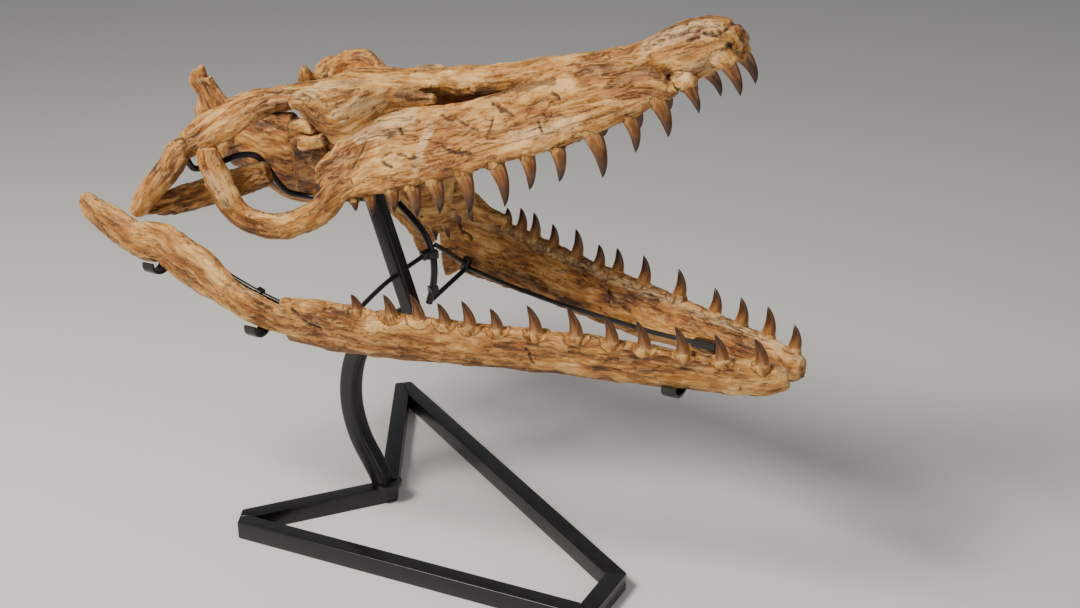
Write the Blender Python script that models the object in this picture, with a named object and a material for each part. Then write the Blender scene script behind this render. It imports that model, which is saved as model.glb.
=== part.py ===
"""Mosasaur skull, jaws agape, on its welded steel stand. Metres, +X to the snout, +Y to the animal's left, +Z up.

Every bone is a loft: a short table of stations along the bone, in millimetres. The cranium's tables
are in the skull's own frame (along, out, up), which an empty tips nose-up at the jaw joint, and the
lower jaw's and the stand's are in the room's. Tables are written for the left side, and the right
side mirrors them.
"""

import math

import bmesh
import bpy
import numpy as np
from mathutils import Euler, Vector

MM = 0.001
GAP = 0.3  # between two pieces that touch, mm
FLAT = 8.0  # faces that meet at less than this angle become one, degrees

# Driving sizes of the skull, mm and degrees
JOINT = (-251.5, 1.0, 466.0)  # middle of the jaw joint's axis, in the room
CRANIUM_PITCH = 14.0  # snout up
CRANIUM_ROLL = 4.5  # left side up, as the fossil is crushed and mounted
LEFT_JAW_PITCH = 2.0  # the left ramus points lower than the right one
LEFT_JAW_PIVOT = (260.0, 0.0, 350.0)
LEFT_JAW_RISE = 3.0
JAW_LEAN = 14.0  # how far the lower jaw's tooth line leans outward
LEFT, RIGHT = 1, -1
FOOT = (-5.0, -2.0, 0.0)  # the stand's foot under the post, which becomes the origin

# Driving sizes of the stand, mm
TUBE = 25.0
FRAME_CORNERS = ((-169, -188), (409, -156), (403, -42), (-225, 356), (-21, 11))
FRAME_TRIMS = (44, 0, 0, 58, 0)  # how much of each outer corner is cut off along its two edges
ROD = 3.2  # radius of the rods that carry the jaw
STRUT = 3.5  # and of their two short struts
CRADLE = 4.2  # radius of the rods under the back of the skull
STRAP_RADIUS = 5.0
HUB = (-6, 6)  # middle of the round plate on the base
HUB_BOTTOM, HUB_TOP, HUB_RADIUS = 25.3, 31.0, 21.0
CLIP_WALL = 2.2  # half of a jaw clip's thickness
CLIP_WIDTH = 9.0  # half of its width along the jaw
CLIP_INNER, CLIP_OUTER = 22.0, 14.0  # heights of its two lips

BONE = ((0.50, 0.33, 0.17), 0.62, 0.0)
TOOTH = ((0.27, 0.13, 0.05), 0.25, 0.0)
STEEL = ((0.012, 0.012, 0.013), 0.32, 0.0)


def clear_scene():
    for found in list(bpy.data.objects):
        bpy.data.objects.remove(found, do_unlink=True)


def material(name, look):
    made = bpy.data.materials.get(name)
    if made:
        return made
    colour, roughness, metallic = look
    made = bpy.data.materials.new(name)
    made.use_nodes = True
    shader = made.node_tree.nodes["Principled BSDF"]
    shader.inputs["Base Color"].default_value = (*colour, 1)
    shader.inputs["Roughness"].default_value = roughness
    shader.inputs["Metallic"].default_value = metallic
    return made


# ---------------------------------------------------------------- lofting


def loft(table, side=LEFT, sides=8, across=(0, 1, 0), turn=0.0, lean=None, facing=None):
    """(points, faces) of a closed body along the stations (x, y, z, a, b[, lean]) of a table.

    a is the half size along `across`, b the half size square to it. `lean` tips the section's top
    outward, in degrees, and `turn` is where the first of its sides starts. The sections lie square to
    the line of stations, or to `facing` where that is given."""
    rows = [list(row) + [0.0] * (6 - len(row)) for row in table]
    centres = [Vector(row[:3]) for row in rows]
    points = []
    upward = 1 if Vector(across).cross(centres[1] - centres[0]).z > 0 else -1
    for i, row in enumerate(rows):
        along = Vector(facing or centres[min(i + 1, len(rows) - 1)] - centres[max(i - 1, 0)]).normalized()
        out = Vector(across)
        out = (out - along * out.dot(along)).normalized()
        up = out.cross(along) * upward
        tip = math.radians(row[5] if lean is None else lean)
        out, up = out * math.cos(tip) - up * math.sin(tip), up * math.cos(tip) + out * math.sin(tip)
        for j in range(sides):
            angle = 2 * math.pi * (j + turn) / sides
            points.append(centres[i] + out * (row[3] * math.cos(angle)) + up * (row[4] * math.sin(angle)))
    faces = [[j for j in range(sides)][::-1]]
    for i in range(len(rows) - 1):
        for j in range(sides):
            k = (j + 1) % sides
            faces.append([i * sides + j, i * sides + k, (i + 1) * sides + k, (i + 1) * sides + j])
    last = (len(rows) - 1) * sides
    faces.append([last + j for j in range(sides)])
    points = [(p.x * MM, p.y * side * MM, p.z * MM) for p in points]
    return points, faces


def crown(base, tip, radius, bulge=(0, 0, 0), side=LEFT):
    """A curved, pointed tooth crown from inside the bone to its tip."""
    start, end, out = Vector(base), Vector(tip), Vector(bulge)
    rows = []
    for share, size in ((-0.15, 1.25), (0.25, 1.02), (0.65, 0.66), (1.0, 0.12)):
        middle = start.lerp(end, share) + out * (4 * share * (1 - share))
        rows.append((*middle, radius * size * 0.85, radius * size))
    return loft(rows, side, sides=5, across=(0, 1, 0))


def mesh_object(name, shells, look, parent=None):
    """One object from several closed shells, with outward normals."""
    built = bmesh.new()
    for points, faces in shells:
        corners = [built.verts.new(point) for point in points]
        for face in faces:
            built.faces.new([corners[i] for i in face])
    bmesh.ops.recalc_face_normals(built, faces=built.faces)
    mesh = bpy.data.meshes.new(name)
    built.to_mesh(mesh)
    built.free()
    made = bpy.data.objects.new(name, mesh)
    bpy.context.scene.collection.objects.link(made)
    mesh.materials.append(material(name, look))
    made.parent = parent
    return made


def helper(made):
    made.hide_render = True
    made.display_type = "WIRE"
    return made


def boolean(target, other, operation, self_cross=False):
    step = target.modifiers.new(operation.title(), "BOOLEAN")
    step.operation = operation
    step.object = other
    step.use_self = self_cross
    return step


def bake(target, flattest=FLAT):
    """Applies the modifiers, keeps the largest body and joins faces that meet nearly flat."""
    bpy.context.view_layer.update()
    graph = bpy.context.evaluated_depsgraph_get()
    mesh = bpy.data.meshes.new_from_object(target.evaluated_get(graph))
    target.modifiers.clear()
    target.data = mesh
    work = bmesh.new()
    work.from_mesh(mesh)
    bmesh.ops.remove_doubles(work, verts=work.verts, dist=0.00002)
    left = set(work.verts)
    groups = []
    while left:
        group, edge = set(), [left.pop()]
        while edge:
            vert = edge.pop()
            group.add(vert)
            near = {line.other_vert(vert) for line in vert.link_edges} & left
            left -= near
            edge.extend(near)
        groups.append(group)
    biggest = max(groups, key=len)
    bmesh.ops.delete(work, geom=[v for v in work.verts if v not in biggest], context="VERTS")
    for flat in (flattest, flattest / 3, 0):
        trial = work.copy()
        bmesh.ops.dissolve_limit(trial, angle_limit=math.radians(flat), verts=trial.verts, edges=trial.edges)
        bmesh.ops.triangulate(trial, faces=trial.faces)
        closed = all(len(edge.link_faces) == 2 for edge in trial.edges)
        trial.to_mesh(mesh)
        trial.free()
        if closed:
            break
    work.free()
    mesh.shade_smooth()
    mesh.set_sharp_from_angle(angle=math.radians(38))


def bone(name, shells, parent=None, look=BONE, teeth=(), clear_of=()):
    """A bone: its shells fused into one body, its teeth fused on, and its neighbours' shapes cut out."""
    made = mesh_object(name, shells[:1], look, parent)
    for shell in shells[1:]:
        boolean(made, helper(mesh_object(name + "_piece", [shell], look, parent)), "UNION")
    if teeth:
        boolean(made, helper(mesh_object(name + "_teeth", teeth, TOOTH, parent)), "UNION")
    bake(made)
    for other in clear_of:
        cutter = other.copy()
        cutter.data = other.data.copy()
        cutter.name = name + "_cutter"
        bpy.context.scene.collection.objects.link(helper(cutter))
        swell = cutter.modifiers.new("Swell", "DISPLACE")
        swell.mid_level = 0
        swell.strength = 1.5 * GAP * MM
        boolean(made, cutter, "DIFFERENCE", self_cross=True)
        boolean(made, other, "DIFFERENCE")
    if clear_of:
        bake(made, FLAT / 2)
    return made


# ---------------------------------------------------------------- cranium, in its own frame

PREMAXILLA = [
    (352, 0, 88, 10, 6), (400, 0, 76, 18, 16), (456, 0, 67, 21, 20), (549, 0, 63, 21, 20),
    (620, 0, 59, 23, 20), (650, 0, 58, 25, 23), (692, 0, 58, 30, 28), (740, 0, 65, 35, 34),
    (768, 0, 69, 34, 30), (788, 0, 68, 29, 22), (798, 0, 64, 21, 14), (804, 0, 60, 10, 7),
]
FIRST_SOCKET = [(770, 17, 62, 6, 6), (779, 19, 58, 12, 13), (788, 20, 52, 12, 13), (797, 20, 46, 7, 7)]
SECOND_SOCKET = [(722, 27, 42, 6, 6), (730, 28, 39, 10, 11), (740, 29, 36, 10, 11), (749, 29, 32, 6, 6)]
MAXILLA = [
    (722, 37, 28, 8, 8, -10), (700, 40, 37, 11, 22, -17), (660, 43, 37, 12, 34, -22),
    (620, 44, 37, 13, 42, -24), (560, 45, 29, 12, 48, -27), (513, 50, 20, 11, 43, -30),
    (460, 59, 17, 11, 43, -30), (400, 69, 14, 10, 47, -26), (350, 78, 17, 10, 50, -23),
    (313, 88, 13, 9, 47, -20), (280, 101, 0, 8, 34, -14), (262, 105, -4, 8, 26, -8), (249, 109, -14, 6, 14, -5),
]
TOOTH_MARGIN = [
    (727, 35, 33, 8, 8), (700, 43, 27, 11, 10), (617, 54, 7, 13, 12), (560, 59, -4, 13, 12),
    (500, 67, -10, 12, 11), (440, 76, -16, 12, 11), (380, 86, -22, 11, 10), (320, 96, -24, 11, 10),
    (280, 103, -25, 9, 9), (262, 107, -26, 6, 6),
]
PREFRONTAL = [
    (408, 46, 64, 5, 6, -30), (375, 52, 68, 8, 20, -32), (350, 63, 70, 9, 32, -34),
    (313, 79, 60, 9, 46, -27), (284, 87, 54, 9, 50, -22), (268, 90, 60, 9, 40, -24),
    (257, 90, 72, 9, 30, -26), (245, 89, 82, 9, 21, -28), (233, 87, 88, 7, 13, -30),
]
PREFRONTAL_BOSS = [(223, 88, 95, 6, 6), (235, 90, 96, 12, 12), (251, 89, 94, 12, 12), (263, 86, 91, 7, 7)]
FRONTAL = [
    (412, 0, 72, 10, 4), (375, 0, 77, 30, 9), (345, 0, 82, 42, 10), (310, 0, 84, 53, 10),
    (275, 0, 87, 62, 11), (245, 0, 91, 70, 12), (224, 0, 94, 73, 10), (211, 0, 94, 66, 6),
]
FRONTAL_CREST = [
    (186, 48, 98, 5, 5), (202, 49, 104, 9, 13), (226, 50, 107, 11, 20), (248, 50, 104, 11, 20),
    (266, 46, 97, 9, 12), (284, 40, 90, 7, 5),
]
PARIETAL = [
    (209, 0, 91, 54, 6), (190, 0, 90, 40, 10), (160, 0, 89, 26, 13), (120, 0, 89, 20, 13),
    (80, 0, 88, 20, 13), (50, 0, 87, 26, 13), (36, 0, 85, 20, 9),
]
PARIETAL_WING = [(58, 8, 88, 9, 10), (42, 50, 84, 8, 11), (38, 92, 76, 7, 10), (49, 122, 70, 6, 8)]
POSTORBITAL = [
    (234, 74, 97, 8, 6), (213, 84, 100, 10, 9), (199, 92, 99, 10, 10), (177, 108, 95, 10, 11),
    (155, 122, 88, 10, 12), (129, 132, 81, 10, 13), (110, 138, 73, 9, 12), (99, 140, 69, 6, 8),
]
JUGAL = [
    (298, 108, -13, 5, 8), (273, 111, -20, 8, 15), (248, 115, -36, 9, 18), (200, 121, -53, 9, 17),
    (172, 123, -55, 10, 17), (147, 126, -50, 10, 17), (128, 132, -38, 10, 18), (115, 137, -18, 10, 20),
    (109, 139, 5, 10, 21), (107, 140, 29, 10, 21), (106, 140, 50, 10, 20), (108, 138, 65, 8, 14),
]
SQUAMOSAL = [
    (229, 74, 103, 5, 5), (196, 86, 107, 8, 8), (157, 95, 105, 9, 11), (127, 108, 95, 9, 13),
    (101, 130, 82, 9, 13), (86, 142, 76, 8, 11), (79, 147, 73, 6, 8),
]
SQUAMOSAL_HORN = [(84, 137, 72, 9, 8), (82, 126, 77, 13, 10), (86, 117, 90, 12, 8), (90, 114, 100, 7, 6), (92, 113, 107, 2, 2)]
QUADRATE = [
    (84, 147, 78, 9, 8), (71, 152, 70, 12, 15), (59, 161, 55, 13, 17), (40, 172, 39, 13, 16),
    (20, 181, 24, 13, 14), (8, 187, 12, 13, 13), (-3, 190, 5, 9, 9),
]
QUADRATE_RAMUS = [
    (-2, 177, 4, 6, 7), (14, 171, 5, 9, 12), (37, 158, 5, 10, 17), (52, 140, 3, 10, 19),
    (70, 121, 3, 10, 19), (100, 104, 4, 10, 19), (125, 96, 7, 10, 19), (148, 88, 9, 10, 17),
]
BRAINCASE = [
    (-4, 0, 24, 9, 10), (12, 0, 34, 17, 25), (32, 0, 34, 24, 34), (60, 0, 34, 28, 44), (85, 0, 22, 26, 54),
    (105, 0, 12, 22, 60), (130, 0, 2, 18, 64), (155, 0, 4, 14, 62), (172, 0, 10, 8, 44),
]
PAROCCIPITAL = [(46, 12, 58, 9, 12), (40, 60, 58, 7, 11), (40, 104, 57, 6, 9), (46, 134, 54, 5, 7)]
OCCIPITAL_SPIKE = [
    (8, -12, 60, 32, 9), (20, -12, 90, 36, 9), (20, -12, 106, 23, 9), (18, -12, 120, 18, 8),
    (12, -12, 132, 18, 8), (14, -12, 139, 11, 7), (20, -12, 145, 6, 5), (24, -12, 151, 3, 3),
]
VOMER = [
    (708, 0, 20, 10, 5), (680, 0, 22, 22, 8), (640, 0, 24, 26, 14), (600, 0, 24, 28, 20),
    (555, 0, 18, 31, 22), (500, 0, 2, 38, 10), (440, 0, -2, 46, 8), (380, 0, -7, 54, 8),
    (330, 0, -11, 58, 8), (296, 0, -13, 46, 6),
]
PALATINE_WALL = [
    (128, 6, -6, 7, 34), (150, 24, -10, 8, 40), (175, 36, -6, 7, 44), (200, 50, -4, 7, 40), (222, 62, -8, 7, 30),
    (238, 72, -14, 6, 18),
]
PTERYGOID = [
    (290, 31, -26, 5, 7), (317, 31, -50, 7, 28), (342, 30, -66, 8, 46), (362, 28, -62, 8, 38),
    (382, 25, -40, 7, 17), (396, 23, -28, 5, 7),
]

# (along, out, up, length, lean forward, radius) of each upper tooth, from the front
PREMAXILLARY_TEETH = [(785, 20, 53, 43, 12, 9), (735, 29, 37, 38, 12, 8)]
MAXILLARY_TEETH = [
    (702, 42, 25, 46, 7, 10), (666, 48, 12, 45, 0, 9), (615, 54, 1, 58, 4, 11), (568, 58, -12, 43, -6, 9),
    (528, 64, -17, 42, -6, 9), (485, 70, -20, 55, 0, 10), (440, 77, -24, 55, -6, 10),
    (399, 83, -30, 42, -3, 10), (368, 88, -31, 41, -4, 9), (340, 93, -31, 30, -5, 8),
    (307, 98, -33, 27, -2, 7), (285, 102, -35, 16, 0, 6),
]
LEFT_CROWN_SHARE = 0.62  # the left maxilla's crowns are broken short
LEFT_BROW_DROP = 20.0  # how far the left prefrontal is pushed down, mm


def upper_teeth(rows, side, share=1.0):
    made = []
    for along, out, up, length, forward, radius in rows:
        length *= share
        tip = (along + forward * share, out + 4, up - length)
        made.append(crown((along, out, up), tip, radius, bulge=(0.12 * length, 2, 0), side=side))
    return made


def lowered(table, drop):
    return [(*row[:2], row[2] - drop, *row[3:]) for row in table]


def build_cranium(frame):
    def pair(table, **how):
        return [loft(table, LEFT, **how), loft(table, RIGHT, **how)]

    bulbs = pair(FIRST_SOCKET) + pair(SECOND_SOCKET)
    teeth = upper_teeth(PREMAXILLARY_TEETH, LEFT) + upper_teeth(PREMAXILLARY_TEETH, RIGHT)
    premaxilla = bone("premaxilla", [loft(PREMAXILLA)] + bulbs, frame, teeth=teeth)

    sides = {}
    for name, side in (("left", LEFT), ("right", RIGHT)):
        shells = [loft(MAXILLA, side, sides=10), loft(TOOTH_MARGIN, side)]
        teeth = upper_teeth(MAXILLARY_TEETH, side, LEFT_CROWN_SHARE if side == LEFT else 1.0)
        sides[name] = bone(f"maxilla_{name}", shells, frame, teeth=teeth, clear_of=[premaxilla])
    maxillae = list(sides.values())
    bone("vomer", [loft(VOMER, sides=10)], frame, clear_of=[premaxilla] + maxillae)

    frontal = bone("frontal", [loft(FRONTAL, sides=10), loft(FRONTAL_CREST)], frame, clear_of=[premaxilla])
    prefrontals = {}
    for name, side in (("left", LEFT), ("right", RIGHT)):
        drop = LEFT_BROW_DROP if side == LEFT else 0.0
        shells = [loft(lowered(PREFRONTAL, drop), side, facing=(1, 0, 0)), loft(lowered(PREFRONTAL_BOSS, drop), side)]
        prefrontals[name] = bone(f"prefrontal_{name}", shells, frame, clear_of=[frontal, sides[name]])

    wings = pair(PARIETAL_WING, across=(1, 0, 0))
    parietal = bone("parietal", [loft(PARIETAL, sides=10)] + wings, frame, clear_of=[frontal])
    processes = pair(PAROCCIPITAL, across=(1, 0, 0))
    spike = loft(OCCIPITAL_SPIKE, across=(1, 0, 0))
    walls = pair(PALATINE_WALL)
    shells = [loft(BRAINCASE, sides=10), spike] + processes + walls
    bone("braincase", shells, frame, clear_of=[parietal, frontal] + maxillae + list(prefrontals.values()))

    for name, side in (("left", LEFT), ("right", RIGHT)):
        postorbital = bone(
            f"postorbitofrontal_{name}", [loft(POSTORBITAL, side)], frame,
            clear_of=[frontal, parietal, prefrontals[name]],
        )
        bone(f"jugal_{name}", [loft(JUGAL, side)], frame, clear_of=[postorbital, sides[name], prefrontals[name]])
        near = [postorbital, frontal, parietal, prefrontals[name], bpy.data.objects["braincase"]]
        shells = [loft(SQUAMOSAL, side)]
        if side == LEFT:
            shells.append(loft(SQUAMOSAL_HORN, across=(1, 0, 0)))
        squamosal = bone(f"squamosal_{name}", shells, frame, clear_of=near)
        near = [squamosal, bpy.data.objects[f"jugal_{name}"]]
        quadrate = bone(f"quadrate_{name}", [loft(QUADRATE, side)], frame, clear_of=near)
        near = [quadrate, bpy.data.objects[f"jugal_{name}"]]
        bone(f"quadrate_ramus_{name}", [loft(QUADRATE_RAMUS, side)], frame, clear_of=near)
        teeth = [crown((x, 29, -104), (x + 1, 31, -124), 5, side=side) for x in (338, 358)]
        bone(f"pterygoid_{name}", [loft(PTERYGOID, side, facing=(1, 0, 0))], frame, teeth=teeth, clear_of=[bpy.data.objects["vomer"]])


# ---------------------------------------------------------------- lower jaw, in the room's frame

DENTARY = [
    (-14, 188, 351, 9, 33), (60, 177, 350, 12, 36), (140, 158, 347, 13, 33), (240, 126, 344, 14, 30),
    (340, 97, 343, 14, 30), (455, 69, 339, 14, 27), (510, 54, 337, 14, 25), (560, 39, 336, 14, 22),
    (586, 30, 337, 13, 18), (598, 26, 339, 9, 12),
]
DENTARY_LEFT = [
    (-14, 188, 331, 9, 54), (18, 183, 340, 11, 46), (60, 177, 340, 12, 47), (140, 158, 338, 13, 43),
    (240, 126, 337, 14, 38), (340, 97, 336, 14, 36), (455, 69, 337, 14, 28), *DENTARY[6:],
]
POSTDENTARY = [
    (2, 188, 346, 6, 14), (-22, 191, 350, 8, 20), (-50, 193, 357, 9, 22), (-80, 195, 365, 9, 22),
    (-110, 196, 380, 10, 27), (-132, 196, 393, 11, 34), (-168, 196, 407, 12, 34), (-200, 196, 422, 13, 30),
    (-228, 196, 422, 12, 28), (-248, 196, 422, 12, 25), (-274, 196, 432, 12, 26), (-306, 196, 446, 11, 23),
    (-330, 196, 457, 9, 17), (-342, 196, 461, 5, 9),
]
POSTDENTARY_LEFT = [
    (6, 189, 374, 6, 9), (-16, 191, 375, 8, 15), (-34, 192, 358, 9, 38), (-50, 193, 350, 9, 48),
    (-80, 195, 366, 9, 33), (-110, 196, 382, 10, 30), *POSTDENTARY[5:],
]
CORONOID = [(100, 172, 389, 5, 6), (74, 177, 387, 7, 12), (48, 181, 390, 7, 19), (28, 184, 394, 7, 23), (8, 186, 392, 6, 18), (-8, 187, 388, 5, 9)]

JAW_MARGIN = ((-14, 383), (71, 384), (116, 381), (183, 374), (243, 372), (340, 372), (386, 370), (457, 365), (503, 361), (590, 356))
JAW_LINE = ((-14, 196), (95, 181), (232, 138), (354, 104), (452, 80), (536, 58), (579, 42), (600, 32))
LOWER_TEETH = {  # (x, height) of each tooth, from the front
    RIGHT: (
        (571, 33), (527, 32), (482, 34), (437, 33), (399, 33), (356, 37), (308, 34), (262, 26),
        (229, 32), (199, 26), (168, 32), (134, 26), (93, 20),
    ),
    LEFT: (
        (580, 29), (540, 36), (500, 33), (460, 30), (404, 35), (347, 34), (302, 31), (270, 27),
        (230, 37), (186, 30), (150, 33), (124, 30), (96, 20),
    ),
}


TOOTH_LEAN = {RIGHT: 0.27, LEFT: 0.12}  # backward, as a share of the height


def read(curve, x):
    return float(np.interp(x, *zip(*curve)))


def build_jaw(left_frame):
    for name, side in (("left", LEFT), ("right", RIGHT)):
        frame = left_frame if side == LEFT else None
        teeth = []
        for x, height in LOWER_TEETH[side]:
            base = (x, read(JAW_LINE, x) - 2, read(JAW_MARGIN, x) - 3)
            tip = (x - TOOTH_LEAN[side] * height, base[1] + 5, base[2] + 3 + height)
            teeth.append(crown(base, tip, 6 + 0.07 * height, bulge=(0.11 * height, 0, 0), side=side))
        front, rear = (DENTARY_LEFT, POSTDENTARY_LEFT) if side == LEFT else (DENTARY, POSTDENTARY)
        turned = (-1, 0, 0) if side == LEFT else None
        dentary = bone(f"dentary_{name}", [loft(front, side, lean=JAW_LEAN)], frame, teeth=teeth)
        rear = bone(f"postdentary_{name}", [loft(rear, side, lean=JAW_LEAN / 2, facing=turned)], frame, clear_of=[dentary])
        if side == LEFT:
            bone("coronoid_left", [loft(CORONOID, side)], frame, clear_of=[dentary, rear])


# ---------------------------------------------------------------- stand

POST_LOWER = [
    (-8, 6), (-13, 34), (-26, 58), (-46, 92), (-60, 142), (-58, 188), (-48, 222), (-30, 252), (-4, 276),
    (28, 292), (51, 305),
]
POST_RADIUS = 13.5
POST_UPPER = [(56, 0, 298), (-47, 0, 586)]
POST_HALF = 10.0
POST_TURN = 16.0  # of its faces from the room's axes, degrees
STRAP = [(-6, 60, 437), (16, 60, 419), (37, 60, 397), (48, 60, 371), (47, 60, 322), (40, 60, 298)]
CROSS_ROD = [(58, -157, 350), (33, -8, 360), (42, 58, 373)]
JAW_ROD_RIGHT = [
    (-222, -177, 404), (-150, -178, 403), (-129, -177, 396), (-94, -177, 384), (-62, -177, 374), (-30, -173, 364),
    (60, -159, 350), (200, -121, 335), (380, -66, 328), (455, -44, 328),
]
JAW_ROD_LEFT = [(47, 149, 324), (130, 125, 320), (222, 101, 318), (310, 79, 320), (394, 58, 323), (470, 42, 329)]
JAW_STRUTS = {"lower": [(41, 67, 301), (46, 141, 320)], "upper": [(49, 67, 383), (47, 143, 333)]}
CRADLE_RIGHT = [
    (-10, -9, 462), (-60, -22, 458), (-99, -34, 460), (-108, -51, 468), (-115, -64, 486), (-121, -75, 507),
    (-129, -87, 524), (-144, -100, 526), (-161, -112, 519), (-177, -129, 513), (-185, -145, 514), (-190, -151, 528),
    (-195, -156, 540),
]
CRADLE_LEFT = [(-42, 16, 500), (-62, 60, 500), (-95, 95, 515), (-140, 125, 530), (-172, 139, 540)]
# middle of each jaw clip: x, distance out, height of its floor, half its width
CLIPS = {"front_right": (472, -66, 309, 20), "middle_right": (-54, -195, 326, 15), "rear_right": (-215, -196, 384, 17),
         "front_left": (474, 58, 297, 23)}


def frame_bars():
    """The base: square tubes mitred round the frame's corners, their outer faces on its outline."""
    corners = [Vector(corner) for corner in FRAME_CORNERS]
    count = len(corners)
    inner, starts, middles, ends = [], [], [], []
    for i, corner in enumerate(corners):
        into = (corner - corners[i - 1]).normalized()
        away = (corners[(i + 1) % count] - corner).normalized()
        across = (Vector((-into.y, into.x)) + Vector((-away.y, away.x))).normalized()
        inner.append(corner + across * (TUBE / across.dot(Vector((-into.y, into.x)))))
        ends.append(corner - into * FRAME_TRIMS[i])
        starts.append(corner + away * FRAME_TRIMS[i])
        middles.append((starts[-1] + ends[-1]) / 2)
    for i in range(count):
        k = (i + 1) % count
        along = (corners[k] - corners[i]).normalized() * (GAP / 2)
        outline = [starts[i] + along, ends[k] - along, inner[k] - along, inner[i] + along]
        if FRAME_TRIMS[k]:
            outline.insert(2, middles[k] - along)
        if FRAME_TRIMS[i]:
            outline.append(middles[i] + along)
        number = len(outline)
        points = [(p.x * MM, p.y * MM, z * MM) for z in (0, TUBE) for p in outline]
        faces = [list(range(number))[::-1], list(range(number, 2 * number))]
        faces += [[j, (j + 1) % number, (j + 1) % number + number, j + number] for j in range(number)]
        bar = mesh_object(f"stand_base_{i + 1}", [(points, faces)], STEEL)
        edge = bar.modifiers.new("Bevel", "BEVEL")
        edge.width = 1.6 * MM
        edge.segments = 1
        bake(bar)


def rod(name, points, radius=ROD, sides=6, clear_of=()):
    table = [(*point, radius, radius) for point in points]
    run = Vector(points[-1]) - Vector(points[0])
    across = (1, 0, 0) if abs(run.y) > max(abs(run.x), abs(run.z)) else (0, 1, 0)
    return bone(name, [loft(table, sides=sides, across=across)], look=STEEL, clear_of=clear_of)


def clip(name, x, y, floor, half, clear_of):
    """A bent strap that cups the underside of the jaw: inner lip, floor and outer lip."""
    out = 1 if y > 0 else -1
    profile = [(-half, CLIP_INNER), (1 - half, 6), (8 - half, 0), (half - 8, 0), (half - 1, 6), (half, CLIP_OUTER)]
    table = [(x, y + out * across, floor + height, CLIP_WIDTH, CLIP_WALL) for across, height in profile]
    return bone(f"stand_clip_{name}", [loft(table, sides=4, turn=0.5, across=(1, 0, 0))], look=STEEL, clear_of=clear_of)


def build_stand():
    frame_bars()
    found = bpy.data.objects
    bars = [each for each in found if each.name.startswith("stand_base")]
    corner = math.sqrt(2)
    lower = [(x, 4, z, POST_RADIUS, POST_RADIUS) for x, z in POST_LOWER]
    post = bone("stand_post_lower", [loft(lower)], look=STEEL, clear_of=bars)
    upper = [(*point, POST_HALF * corner, POST_HALF * corner) for point in POST_UPPER]
    under = [post, found["frontal"], found["parietal"], found["braincase"]]
    upper = bone("stand_post_upper", [loft(upper, sides=4, turn=0.5 + POST_TURN / 90)], look=STEEL, clear_of=under)
    plate = [(*HUB, height, HUB_RADIUS, HUB_RADIUS) for height in (HUB_BOTTOM, HUB_TOP)]
    bone("stand_hub_plate", [loft(plate, sides=6, across=(1, 0, 0))], look=STEEL, clear_of=[post])
    strap = rod("stand_strap", STRAP, radius=STRAP_RADIUS)
    rod_right = rod("stand_jaw_rod_right", JAW_ROD_RIGHT, clear_of=[found["dentary_right"], found["postdentary_right"]])
    rod("stand_cross_rod", CROSS_ROD, clear_of=[upper, strap, rod_right])
    rod_left = rod("stand_jaw_rod_left", JAW_ROD_LEFT, clear_of=[found["dentary_left"], found["postdentary_left"]])
    for name, points in JAW_STRUTS.items():
        rod(f"stand_strut_{name}", points, radius=STRUT, clear_of=[strap, rod_left])
    for name, points in (("right", CRADLE_RIGHT), ("left", CRADLE_LEFT)):
        kept = [found[f"{each}_{name}"] for each in ("squamosal", "quadrate", "quadrate_ramus", "jugal")]
        rod(f"stand_cradle_{name}", points, radius=CRADLE, clear_of=[upper, found["braincase"]] + kept)
    for name, place in CLIPS.items():
        end = name.split("_")[1]
        near = [found[f"dentary_{end}"], found[f"postdentary_{end}"], found[f"stand_jaw_rod_{end}"]]
        clip(name, *place, near)


def empty(name, location, angles):
    made = bpy.data.objects.new(name, None)
    bpy.context.scene.collection.objects.link(made)
    made.rotation_euler = Euler([math.radians(angle) for angle in angles])
    made.location = location
    return made


def main():
    clear_scene()
    cranium = empty("cranium_frame", Vector(JOINT) * MM, (CRANIUM_ROLL, -CRANIUM_PITCH, 0))
    pivot = Vector(LEFT_JAW_PIVOT) * MM
    turned = Euler((0, math.radians(LEFT_JAW_PITCH), 0)).to_matrix() @ pivot
    left_jaw = empty("left_jaw_frame", pivot - turned + Vector((0, 0, LEFT_JAW_RISE * MM)), (0, LEFT_JAW_PITCH, 0))
    build_cranium(cranium)
    build_jaw(left_jaw)
    build_stand()
    foot = empty("foot_frame", -Vector(FOOT) * MM, (0, 0, 0))
    for each in bpy.data.objects:
        if each.parent is None and each != foot:
            each.parent = foot


main()
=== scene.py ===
# %% [markdown]
# # A mosasaur's skull, jaws agape, on a welded steel stand
# This lesson dresses a plain CAD model of a museum fossil. The CAD gives every bone, tooth and tube its
# place and its main shape. Each cell below takes one kind of piece and gives it what a visitor would see:
# the rough grain of the bone, glossy brown teeth and satin black steel. All tables are in millimetres,
# because that is how a mount maker measures a skull.

import math

import bmesh
import bpy
import numpy as np
from mathutils import Euler, Matrix, Vector


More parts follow.
